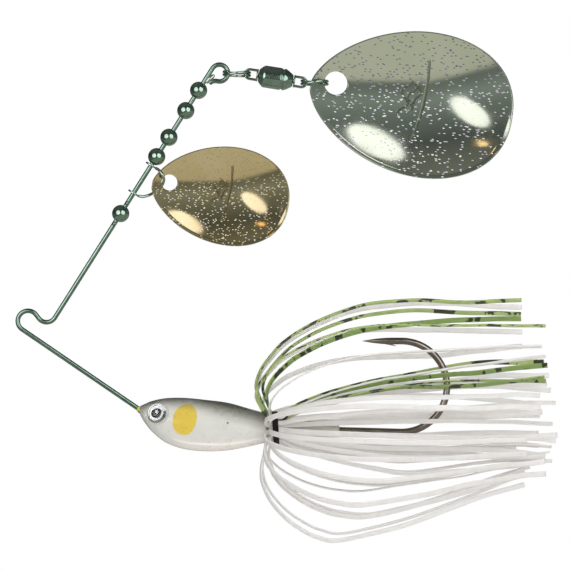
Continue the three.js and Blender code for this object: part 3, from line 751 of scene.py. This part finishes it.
def tube(points, radius, spacing=0.2, sides=20):
    """A wire with its cut ends chamfered."""
    route = spaced(points, spacing)
    length = spacing * (len(route) - 1)

    def thickness(t):
        end = min(t, 1 - t) * length
        return radius * (0.8 + 0.2 * min(1.0, end / CHAMFER))
    return sweep(route, round_section(thickness, sides))


def crimp_ear(centre, side):
    """A flattened lump on one side of the arm."""
    centre = centre + Vector((0, side * 0.3, 0))
    route = [beyond(centre, UPPER_ARM_SLOPE, step) for step in (-0.6, -0.2, 0.2, 0.6)]
    return sweep(spaced(route, 0.08), round_section(lambda t: 0.06 + 0.26 * sin(pi * t), 12))


def arm_wire():
    foot = smooth_route([
        at(HOOK_EYE_CENTRE, FOOT_HEIGHT, 1.4),
        at(HOOK_EYE_CENTRE, FOOT_HEIGHT, -0.7),
        at(HOOK_EYE_CENTRE - 0.7, FOOT_HEIGHT, FOOT_SIDE),
        at(HOOK_EYE_CENTRE - 2.2, FOOT_HEIGHT, FOOT_SIDE),
        at(HOOK_EYE_CENTRE - 5, FOOT_HEIGHT),
        at(HOOK_EYE_CENTRE - 6.3, FOOT_HEIGHT + 0.05),
        beyond(NOSE, -LOWER_ARM_SLOPE, 5.2),
    ], 8)
    bend = arc(at(0, 0), LINE_TIE_RADIUS, 270 - LOWER_ARM_SLOPE, DIP_TURN, 40)
    dip = arc(DIP_CENTRE, DIP_RADIUS, 180 + DIP_TURN, 360 + ARM_SIDE, 24)
    arm = straight(along_arm(0.2), along_arm(UPPER_ARM_LENGTH - 0.2), 40)
    tail_turn = math.degrees(math.acos(1 - (2 * EYE_RADIUS - TAIL_OFFSET) / (EYE_RADIUS + TAIL_BEND_RADIUS)))
    end = ARM_SIDE - tail_turn
    eye = arc(WIRE_EYE, EYE_RADIUS, ARM_SIDE + 180, end, 48)
    centre = beyond(WIRE_EYE, end, EYE_RADIUS + TAIL_BEND_RADIUS)
    tail = arc(centre, TAIL_BEND_RADIUS, end + 180, end + 180 + tail_turn * 0.85, 12)[1:]
    shell = tube(foot + bend + dip + arm + eye + tail, WIRE / 2)
    # the solder fills the fork between the arm and the wire's tail
    middle = [along_arm(UPPER_ARM_LENGTH - back).lerp(tail[k], part)
              for back, k, part in ((3.1, -1, 0.45), (1.9, 8, 0.5), (0.9, 3, 0.5), (0.1, 0, 0.5))]
    fillet = sweep(spaced(smooth_route(middle, 6), 0.15),
                   round_section(lambda t: 0.12 + 0.36 * sin(pi * min(1.0, 0.15 + 0.75 * t)), 14))
    shell.join(fillet, 1)
    for end in (-1, 1):
        for side in (-1, 1):
            shell.join(crimp_ear(along_arm(STOP_BEAD_PLACE + end * SWAGE_OFFSET), side))
    make("arm_wire", shell, "frame", "black_nickel_wire", "wire_arm",
         materials=("black_nickel_wire", "solder"))


def bead(name, place, body, node):
    steps = 28
    mouth = math.asin(BEAD_HOLE_RADIUS / BEAD_RADIUS)
    angles = [mouth + (pi - 2 * mouth) * i / steps for i in range(steps + 1)]
    outside = [(-BEAD_RADIUS * cos(angle), BEAD_RADIUS * sin(angle)) for angle in angles]
    inset, bore = outside[-1][0] - 0.05, BEAD_HOLE_RADIUS - 0.05
    shell = lathe(outside + [(inset, bore), (-inset, bore)])
    make(name, shell.turned(placed(along_arm(place), -UPPER_ARM_SLOPE)), body, "black_nickel_bead", node)


# ---- blades ----

def blade_rim(length):
    """Evenly spaced points round the outline, and the direction that points out of it at each."""
    steps = detail(400, 1600)
    edge = []
    for i in range(steps + 1):
        s = (1 - cos(pi * i / steps)) / 2
        edge.append(at(max(BLUNT_TIP, length * s), OUTLINE_WIDTH * length * s ** 0.62 * (1 - s) ** 0.45))
    loop = edge + [at(p.x, -p.z) for p in reversed(edge[1:-1])]
    loop.append(loop[0])
    around = sum((b - a).length for a, b in zip(loop, loop[1:]))
    rim = [p.xz for p in spaced(loop, around / detail(120, 330))[:-1]]
    outward = []
    for k, p in enumerate(rim):
        along = rim[(k + 1) % len(rim)] - rim[k - 1]
        out = Vector((along.y, -along.x)).normalized()
        outward.append(-out if out.dot(p - Vector((length * 0.5, 0))) < 0 else out)
    return rim, outward


def blade(name, part, length, thickness, hole, hole_place, tip, slope):
    """A cupped sheet from the hole to the rim and back. Its node, body and slot are all named part."""
    centre = Vector((hole_place, HOLE_RISE * length))
    half = thickness / 2

    def bowl(place, height):
        reach = CUP_PLACE if place < CUP_PLACE else 1 - CUP_PLACE
        return 1 - ((place - CUP_PLACE) / reach) ** 2 - (height / CUP_HALF_WIDTH) ** 2

    margin = bowl((hole_place - 1.3 * hole) / length, 0)
    rim, outward = blade_rim(length)
    rays = [(p - centre).normalized() for p in rim]
    inner = [centre + ray * (hole + half) for ray in rays]
    outer = [p - out * half for p, out in zip(rim, outward)]
    rows = []

    def row(flat_points, rise):
        """One row round the sheet. Close to the lower rim the sheet turns back into a lip."""
        line = []
        for p, edge in zip(flat_points, outer):
            cup = CUP_DEPTH * length * (bowl(p.x / length, p.y / length) - margin)
            low = min(1.0, max(0.0, 0.5 - p.y / (0.3 * length))) * min(1.0, p.x / (0.2 * length)) ** 2
            lip = LIP_HEIGHT * low * max(0.0, 1 - (edge - p).length / LIP_WIDTH) ** 2
            line.append(at(p.x, p.y, cup + rise + lip))
        rows.append(line)

    def side(start, end, count, rise):
        for i in range(count + 1):
            t = i / count
            ease = t * t * (3 - 2 * t) * 0.35 + t * 0.65
            row([a.lerp(b, ease) for a, b in zip(start, end)], rise)

    def fold(points, directions, way):
        """A half-round edge from one side of the sheet to the other."""
        for i in range(1, 8):
            angle = pi * i / 8 - pi / 2
            reach = way * half * cos(angle)
            row([p + d * reach for p, d in zip(points, directions)], way * half * sin(angle))

    front = detail(40, 96)
    back = front // 2
    side(inner, outer, front, -half)
    fold(outer, outward, 1)
    side(outer, inner, back, half)
    fold(inner, rays, -1)
    points = [p for line in rows for p in line]
    faces, _ = ring_faces(len(rows), len(rim), closed=True)
    uvs = []
    for k, face in enumerate(faces):
        # the engraving is on the front only, so the back's map is moved away from it
        behind = front + 4 <= k // len(rim) < front + back + 12
        uvs.append([(points[i].x / length + 5 * behind, points[i].z / length + 0.5) for i in face])
    make(name, Shell().add(points, faces, uvs).turned(placed(at(*tip), slope)), part, part, part)


# ---- clevis ----

def clevis():
    route = smooth_route([
        beyond(along_arm(CLEVIS_TOP), ARM_SIDE, CLEVIS_SIDE),
        at(24.9, 28.65, -1), at(25.6, 27.75, -1.5), at(25.85, 26.95, -1.1), at(25.75, 26.4, 0),
        at(25.35, 25.7, 1.1), at(24.5, 24.9, 1.45), at(23.2, 24.05, 1.0), at(21.9, 23.65, 0.4),
        beyond(along_arm(CLEVIS_BOTTOM), ARM_SIDE, CLEVIS_SIDE),
    ], 14)
    shell = tube(route, CLEVIS_WIRE / 2, 0.12, 16)
    eyelet = rounded([(-0.175, 0.6), (-0.175, 1.15), (0.175, 1.15), (0.175, 0.6)], 0.12)
    for place in (CLEVIS_TOP, CLEVIS_BOTTOM):
        shell.join(lathe(eyelet).turned(placed(along_arm(place), -UPPER_ARM_SLOPE)))
    make("clevis_loop", shell, "clevis", "clevis_wire", "clevis")


# ---- swivel and split rings ----

SWIVEL = placed(at(*SWIVEL_START), SWIVEL_SLOPE)
FRONT_LOOP = beyond(at(*SWIVEL_START), -SWIVEL_SLOPE, -LOOP_REACH)
REAR_LOOP = beyond(at(*SWIVEL_START), -SWIVEL_SLOPE, BARREL_LENGTH + LOOP_REACH)
SILVER_HOLE = beyond(beyond(at(*SILVER["tip"]), -SILVER["slope"], SILVER["hole_place"]),
                     90 - SILVER["slope"], HOLE_RISE * SILVER["length"])


def swivel_barrel():
    section = rounded([
        (0, 0.52), (0, 1.15), (1, BARREL_RADIUS), (4.3, BARREL_RADIUS), (4.45, 1.93), (4.75, 1.93),
        (4.9, BARREL_RADIUS), (5.5, 1.85), (BARREL_LENGTH, 1.1), (BARREL_LENGTH, 0.55), (5.65, 0.55),
        (5.65, 1.32), (5, 1.5), (1.2, 1.5), (1.2, 0.52)], 0.35, 6)
    make("barrel", lathe(section, 72).turned(SWIVEL), "swivel_body", "black_nickel_swivel", "swivel_barrel")


def swivel_eye(name, body, node, stem, head_radius, place):
    """A wire loop with a collar outside the barrel, and a stem with a flat head inside it."""
    half = LOOP_RADIUS
    loop = [at(-0.2, half), at(-0.9, half), *arc(at(-LOOP_REACH, 0), half, 90, 270, 32),
            at(-0.9, -half), at(-0.2, -half)]
    shell = tube(loop, LOOP_WIRE / 2, 0.1, 18)
    collar = [(-0.4, 0), (-0.4, 1.2), (-0.1, 1.2), (-0.1, 0)]
    head = [(stem - 0.4, 0), (stem - 0.4, head_radius), (stem, head_radius), (stem, 0)]
    shell.join(lathe(rounded(collar, 0.12, 4, False), 48, False))
    shell.join(lathe([(-0.35, 0), (-0.35, 0.42), (stem - 0.02, 0.42), (stem - 0.02, 0)], 32, False))
    shell.join(lathe(rounded(head, 0.12, 4, False), 40, False))
    if place:
        shell.turned(placed((place, 0, 0), 180))
    make(name, shell.turned(SWIVEL), body, "black_nickel_swivel", node)


def swivel_balls():
    profile = [(-BALL_RADIUS * cos(pi * k / 16), BALL_RADIUS * sin(pi * k / 16)) for k in range(17)]
    for i, angle in enumerate(circle(BALL_COUNT)):
        place = Vector((BALL_PLACE, *on_circle(BALL_ORBIT, angle)))
        shell = lathe(profile, 24, False).turned(SWIVEL @ Matrix.Translation(place))
        make(f"ball_{i + 1}", shell, "swivel_body", "ball_steel", f"swivel_ball_{i + 1}")


def split_ring(name, body, node, start, end):
    """Flattened wire wound nearly twice, which steps sideways from one turn to the other."""
    radius = (end - start).length / 2
    route = []
    for i in range(241):
        turn = 40 + 640 * i / 240
        step = max(-1.0, min(1.0, (turn - 360) / 40)) * RING_PITCH / 2
        angle = radians(turn - 90)
        route.append(Vector((*on_circle(radius, angle), step)))
    section = flat_section(0.46, 0.42, 0.42, 5)
    shell = sweep(route, lambda i, t: section, Vector((0, 0, 1)))
    slope = math.degrees(math.atan2(start.z - end.z, end.x - start.x))
    make(name, shell.turned(placed(start.lerp(end, 0.5), slope)), body, "black_nickel_ring", node)


# ---- hook ----

HOOK_EYE = beyond(at(*SHANK_END), 180 - SHANK_DROP,
                  (SHANK_END[0] - HOOK_EYE_CENTRE) / cos(radians(SHANK_DROP)))


def hook():
    centre = beyond(at(*SHANK_END), 90 - SHANK_DROP, BEND_RADIUS)

    def in_shank(along, up):
        return beyond(beyond(HOOK_EYE, -SHANK_DROP, along), 90 - SHANK_DROP, up)
    eye = arc(HOOK_EYE, 1.55, 60, 320, 40) + [in_shank(1.9, -0.4), in_shank(2.6, -0.05)]
    shank = straight(in_shank(4, 0), at(*SHANK_END), 40)[:-1]
    bend = arc(centre, BEND_RADIUS, -90 - SHANK_DROP, 90, 80)
    point = straight(bend[-1], beyond(bend[-1], 180, POINT_LENGTH), 20)[1:]
    spacing = 0.2
    route = spaced(eye + shank + bend + point, spacing)
    length = spacing * (len(route) - 1)

    def thickness(t):
        taper = min(1.0, (1 - t) * length / (POINT_LENGTH - 1.6))
        return HOOK_WIRE / 2 * (0.05 + 0.95 * sin(taper * pi / 2) ** 0.9)
    shell = sweep(route, round_section(thickness, 24))
    root = beyond(bend[-1], 180, 3.6) + at(0, -0.12)
    shell.join(sweep(straight(root, root + at(2.6, -0.85), 12),
                     round_section(lambda t: 0.34 * (1 - t) ** 0.8 + 0.02, 12)))
    make("hook_wire", shell, "frame", "hook_bronze", "hook")


# ---- head and eyes ----

# cross-sections from the nose to the tail: place, top, bottom and half of the width
HEAD_SECTIONS = [
    (21.35, -16.2, -17.9, 0.9), (22.2, -15.8, -19.3, 2.0), (23.7, -15.2, -21.1, 2.95),
    (26.3, -14.7, -23.1, 3.7), (29.8, -14.65, -24.3, 4.1), (34, -15.05, -24.7, 4.1),
    (38.1, -15.6, -24.5, 3.7), (42.2, -16.75, -23.75, 3.15), (HEAD_END, -17.55, -23.05, 2.7)]
SEAM_HEIGHT = 0.05


def eye_place(side):
    x, y, z = EYE_CENTRE
    return (Matrix.Translation((x, side * y, z)) @ Matrix.Rotation(side * radians(EYE_TILT), 4, "X")
            @ Matrix.Rotation(side * radians(EYE_TURN), 4, "Z"))


def oval(x, middle, half_width, half_height, segments):
    return [at(x, middle + half_height * sin(angle), half_width * cos(angle))
            for angle in circle(segments)]


def sink_eye_socket(points, side):
    """Moves the points near an eye in to the flat floor of its socket."""
    place = eye_place(side)
    inverse = place.inverted()
    for i, p in enumerate(points):
        local = inverse @ p
        reach = math.hypot(local.x, local.z)
        if reach < SOCKET_RADIUS and local.y * side > 0:
            wall = min(1.0, max(0.0, reach - SOCKET_FLOOR_RADIUS) / 0.2)
            local.y = side * min(abs(local.y), abs(local.y) * wall + 0.02)
            points[i] = place @ local


def stub():
    """The tapered stub that holds the skirt, with a round end."""
    start, end = COLLAR_END + 0.5, STUB_END - 1
    profile = [(HEAD_END - 1, 0), (HEAD_END - 1, STUB_RADIUS), (start, STUB_RADIUS)]
    for i in range(1, 11):
        profile.append((start + i, mixed(STUB_RADIUS, STUB_END_RADIUS, i / (end - start))))
    for degrees in range(15, 91, 15):
        angle = radians(degrees)
        profile.append((end + sin(angle), STUB_END_RADIUS * cos(angle)))
    shell = lathe(profile, 64, False)
    for p in shell.points:
        p.z += HEAD_AXIS - STUB_DROP * max(0, p.x - COLLAR_END) / (STUB_END - COLLAR_END)
    return shell


def head():
    steps = detail(6, 22)
    heights = smooth_route([Vector(s[:3]) for s in HEAD_SECTIONS], steps)
    widths = smooth_route([Vector((s[0], s[3], 0)) for s in HEAD_SECTIONS], steps)
    segments = detail(48, 160)
    points = oval(HEAD_START, NOSE.z, 0, 0, segments) + oval(HEAD_START + 0.16, NOSE.z, 0.45, 0.4, segments)
    for h, w in zip(heights, widths):
        middle, half = (h.y + h.z) / 2, (h.y - h.z) / 2
        for angle in circle(segments):
            # the mould's parting line is a low ridge along the back and the belly
            seam = SEAM_HEIGHT * math.exp(-(cos(angle) / 0.05) ** 2)
            points.append(at(h.x, middle + (half + seam) * sin(angle), (w.y + seam) * cos(angle)))
    rear = heights[-1].x + 0.12
    points += oval(rear, HEAD_AXIS, 2.45, 2.5, segments) + oval(rear, HEAD_AXIS, 0, 0, segments)
    for side in (-1, 1):
        sink_eye_socket(points, side)
    shell = Shell().add(points, *ring_faces(len(points) // segments, segments))
    make("head_casting", shell.join(stub()), "frame", "head_paint", "head")


def nose_blob():
    profile = [(-0.9 * cos(pi * k / 16), 0.62 * sin(pi * k / 16) ** 0.7) for k in range(17)]
    shell = lathe(profile, 32, False).turned(placed(beyond(NOSE, -LOWER_ARM_SLOPE, 0.35), LOWER_ARM_SLOPE))
    for i, p in enumerate(shell.points):
        shell.points[i] = p + Vector((0, 1, 1)) * 0.08 * noise.noise(p * 1.7)
    make("nose_blob", shell, "frame", "head_paint", materials=("nose_paint",))


def eyes():
    disc = rounded([(0.105, 0), (0.105, FOIL_RADIUS), (0.255, FOIL_RADIUS), (0.255, 0)], 0.05, 3, False)
    cap = [(0.35, 0), (0.35, DOME_RADIUS)]
    cap += [(0.35 + 0.6 * sin(pi / 2 * k / 20), DOME_RADIUS * cos(pi / 2 * k / 20))
            for k in range(1, 21)]
    for side, word in ((1, "left"), (-1, "right")):
        to_y = Matrix.Rotation(side * pi / 2, 4, "Z")
        foil = lathe(disc, 64, False).turned(to_y)
        flat = [(p.x / (2 * FOIL_RADIUS) + 0.5, p.z / (2 * FOIL_RADIUS) + 0.5) for p in foil.points]
        foil.uvs = [[flat[i] for i in face] for face in foil.faces]
        make(f"foil_{word}", foil.turned(eye_place(side)), "frame", "eye_foil", f"eye_foil_{word}")
        dome = lathe(cap, 64, False).turned(to_y).turned(eye_place(side))
        make(f"dome_{word}", dome, "frame", "eye_dome", f"eye_dome_{word}").visible_shadow = False


# ---- collar and skirt ----

def collar():
    section = rounded([(COLLAR_START, COLLAR_BORE), (COLLAR_START, COLLAR_RADIUS),
                       (COLLAR_END, COLLAR_RADIUS), (COLLAR_END, COLLAR_BORE)], 0.15)
    middle = (COLLAR_START + COLLAR_END) / 2
    lean = placed((middle, 0, HEAD_AXIS), -3.5) @ Matrix.Translation((-middle, 0, 0))
    make("collar_band", lathe(section, 96).turned(lean), "frame", "collar_rubber", "skirt_collar")


def front_tail(root, widest, tip, reach, height):
    """Places along X and distances from the skirt's axis. Height is 1 at the skirt's top, -1 at its foot."""
    wide = min(1, (widest - NARROW) / (WIDE - NARROW))
    low = (1 - height) / 2
    lead = LAYER_GAP if root < OUTER_LAYER else 0
    rise = []
    for part, narrow_top, wide_top, narrow_low, wide_low in FRONT_RISE:
        distance = mixed(root, widest, part)
        place = mixed(mixed(narrow_top, wide_top, wide), mixed(narrow_low, wide_low, wide), low)
        rise.append((place - lead * max(0, 1 - distance / 16), distance))
    run = [(mixed(rise[-1][0], reach, part), mixed(widest, tip, part ** 1.2)) for part in (0.3, 0.6, 0.85, 1)]
    return [(46.4, root), (46.2 - 0.4 * lead, root + 0.35), *rise, *run]


def rear_tail(root, middle, tip, reach):
    rise = [(x, mixed(root, middle, part)) for x, part in
            ((48.6, 0.02), (51.6, 0.28), (58.1, 0.6), (65.7, 0.86), (72.6, 1))]
    return [(47.7, root), *rise, (85, mixed(middle, tip, 0.55)), (reach, tip)]


def strand(layer, azimuth, number, chance):
    angle = radians(azimuth)
    height = cos(angle)
    root, rows = (INNER_LAYER, INNER_STRANDS) if layer == "inner" else (OUTER_LAYER, OUTER_STRANDS)
    widest, front_tip, rear_middle, rear_tip = rows[number - 1]
    front = front_tail(root, widest, front_tip, 95.5 + 2.2 * sin(2.4 * number + 2), height)
    rear = rear_tail(root, rear_middle, rear_tip, 98.6 + 1.3 * cos(1.7 * number))
    controls = [at(x, distance) for x, distance in [*reversed(front), *rear]]
    route = spaced(smooth_route(controls, 10), detail(0.9, 0.35))
    seed = Vector((chance.uniform(0, 50), chance.uniform(0, 50), chance.uniform(0, 50)))
    flat_on = (78 if height > 0 else 48) * abs(height)
    twist = [side * flat_on + chance.uniform(-22, 22) for side in (1, -1)]
    band = (COLLAR_START + COLLAR_END) / 2
    held = min(range(len(route)), key=lambda i: abs(route[i].x - band) + abs(route[i].z - root))
    turns = []
    for i, p in enumerate(route):
        free = min(1.0, abs(i - held) / (held if i < held else len(route) - 1 - held))
        wave = noise.noise_vector(p * 0.045 + seed) * 1.7 + noise.noise_vector(p * 0.14 + seed) * 0.35
        route[i] = p + Vector((0.2 * wave.x, wave.y, wave.z)) * free ** 1.6
        turns.append(radians(twist[0 if i < held else 1]) * free ** 0.45)
    base = flat_section(STRAND_WIDTH, STRAND_THICKNESS, 0.45, 4)

    def section(i, t):
        c, s = cos(turns[i]), sin(turns[i])
        return [(a * c - b * s, a * s + b * c) for a, b in base]
    shell = sweep(route, section, Vector((0, 1, 0)))
    shell.turned(Matrix.Translation((0, 0, HEAD_AXIS)) @ Matrix.Rotation(angle, 4, "X"))
    slot = "strand_green" if f"{layer}_{number}" in GREEN_STRANDS else "strand_white"
    make(f"{layer}_strand_{number}", shell, "frame", slot, f"strand_{layer}_{number}")


def skirt():
    noise.seed_set(SEED)
    chance = random.Random(SEED)
    for i in range(STRANDS_PER_LAYER):
        azimuth = (i + 0.5) * 360 / STRANDS_PER_LAYER
        strand("inner", azimuth, i + 1, chance)
        strand("outer", azimuth - OUTER_TURN, i + 1, chance)


# ---- build ----

arm_wire()
bead("stop_ball", STOP_BEAD_PLACE, "frame", "stop_bead")
for i, place in enumerate(BEAD_PLACES):
    bead(f"ball_bead_{i + 1}", place, f"bead_{i + 1}", f"bead_{i + 1}")
blade("silver_spoon", "silver_blade", **SILVER)
blade("gold_spoon", "gold_blade", **GOLD)
clevis()
swivel_barrel()
swivel_eye("front_loop", "swivel_body", "swivel_front_eye", 1.75, 0.9, 0)
swivel_eye("rear_loop", "swivel_eye", "swivel_rear_eye", 2.3, 1.2, BARREL_LENGTH)
swivel_balls()
split_ring("front_ring", "ring_front", "split_ring_front",
           WIRE_EYE + (FRONT_LOOP - WIRE_EYE).normalized() * RING_WIRE_OUTSIDE, FRONT_LOOP)
split_ring("rear_ring", "ring_rear", "split_ring_rear", REAR_LOOP,
           SILVER_HOLE - (SILVER_HOLE - REAR_LOOP).normalized() * (SILVER["hole"] - RING_WIRE_INSIDE))
hook()
head()
nose_blob()
eyes()
collar()
skirt()


# ---- stage, light and camera ----

LURE = Vector((0.049, 0, 0.007))
FLOOR_RADIUS = 0.4
FLOOR_GAP = 0.05
TABLE_TILT = -0.28
PALE = (0.985, 1, 0.86)
GREEN = (0.86, 1, 0.95)
# height, from straight down to straight up, then tone and tint
ROOM = [(0.0, 0.48, PALE), (0.34, 0.45, PALE), (0.37, 0.13, GREEN), (0.48, 0.24, GREEN),
        (0.61, 0.15, GREEN), (0.76, 0.08, GREEN), (1.0, 0.20, PALE)]
DARK_METAL = ("arm_wire", "stop_ball", "ball_bead", "clevis_loop", "barrel", "front_", "rear_", "hook_wire")
WARM = (1.0, 0.62, 0.25)
FRAME_WIDTH = 0.1083
FRAME_CENTRE = (0.04883, 0.00684)


def floor_disc():
    height = CAD_BOX[0].z - FLOOR_GAP
    points = [(0, 0, height)] + [(*on_circle(FLOOR_RADIUS, angle), height) for angle in circle(96)]
    faces = [(0, k + 1, (k + 1) % 96 + 1) for k in range(96)]
    mesh = bpy.data.meshes.new("floor_disc")
    mesh.from_pydata(points, [], faces)
    mesh.materials.append(MATERIALS["paper"])
    obj = bpy.data.objects.new("floor_disc", mesh)
    obj.visible_glossy = False
    bpy.context.scene.collection.objects.link(obj)


def surroundings():
    """White behind the lure. Its metal mirrors a dim green room over a pale table that rises to one side."""
    g = Graph("studio", world=True)
    x, _, z = g.split(g.generated)
    height = g.add("Math", {0: x, 1: TABLE_TILT, 2: z}, operation="MULTIPLY_ADD").outputs[0]
    stops = [(place, [tone * channel for channel in tint]) for place, tone, tint in ROOM]
    room = g.add("Background", {"Color": g.ramp(g.span(height, -1, 1), stops)}).outputs[0]
    white = g.add("Background", {"Color": (1, 1, 1)}).outputs[0]
    seen = g.add("LightPath").outputs["Is Camera Ray"]
    bpy.context.scene.world = g.surface(g.add("MixShader", {0: seen, 1: room, 2: white}))


def softbox(name, heading_from_lure, distance, size, power, color=(1, 1, 1), mirrored=True, roll=0, only=()):
    """A light that faces the lure, oval if its reflection can be seen and rectangular if it can't. One with a
    list of pieces lights only those whose names start so."""
    place = LURE + Vector(heading_from_lure).normalized() * distance
    light = bpy.data.lights.new(name, "AREA")
    light.shape = "ELLIPSE" if mirrored else "RECTANGLE"
    light.size, light.size_y = size
    light.energy = power
    light.color = color
    obj = bpy.data.objects.new(name, light)
    obj.location = place
    obj.rotation_mode = "QUATERNION"
    aim = (LURE - place).to_track_quat("-Z", "Y").to_matrix().to_4x4()
    obj.rotation_quaternion = (aim @ Matrix.Rotation(radians(roll), 4, "Z")).to_quaternion()
    obj.visible_glossy = mirrored
    obj.visible_camera = False
    bpy.context.scene.collection.objects.link(obj)
    if only:
        lit = bpy.data.collections.new(name + "_pieces")
        for piece in bpy.context.scene.objects:
            if piece.name.startswith(only):
                lit.objects.link(piece)
        obj.light_linking.receiver_collection = lit


def photographer():
    camera = bpy.data.cameras.new("camera")
    camera.lens = 200
    camera.sensor_width = 36
    camera.dof.use_dof = False
    camera.clip_start, camera.clip_end = 0.01, 20
    obj = bpy.data.objects.new("camera", camera)
    x, z = FRAME_CENTRE
    obj.location = (x, -FRAME_WIDTH * camera.lens / camera.sensor_width, z)
    obj.rotation_euler = (pi / 2, 0, 0)
    bpy.context.scene.collection.objects.link(obj)
    bpy.context.scene.camera = obj


floor_disc()
surroundings()
softbox("right_box", (0.37, -0.76, 0.60), 1.1, (0.24, 0.46), 0.32, roll=8)
softbox("left_box", (-0.37, -0.92, 0.14), 1.1, (0.56, 0.28), 0.42, roll=-48)
softbox("warm_lamp", (-0.42, -0.74, 0.52), 1.1, (0.12, 0.07), 0.03, WARM)
softbox("rim_lamp", (-0.70, -0.62, 0.25), 1.1, (0.10, 0.22), 0.08)
for name, x in (("band_right", 0.55), ("band_left", -0.55)):
    softbox(name, (x, -0.81, 0.24), 0.5, (0.50, 0.50), 1.4, only=DARK_METAL)
softbox("catch_lamp", (-0.54, -0.70, 0.46), 1.1, (0.26, 0.30), 3.0, only=("dome_",))
softbox("belly_strip", (0.0, -0.10, -1.0), 0.08, (0.09, 0.010), 0.006, only=("head_casting",))
for name, side, distance, size, power in (
        ("top_fill", (-0.2, -0.6, 0.9), 1.2, (1.0, 0.8), 7.0),
        ("front_fill", (0.3, -1.0, 0.1), 1.3, (1.2, 1.0), 8.0),
        ("low_fill", (0.0, -0.5, -0.8), 0.9, (1.0, 0.8), 3.2),
        ("back_fill", (0.1, 0.9, 0.6), 1.0, (0.8, 0.5), 3.5)):
    softbox(name, side, distance, size, power, mirrored=False)
photographer()
bpy.context.scene.view_settings.view_transform = "Standard"
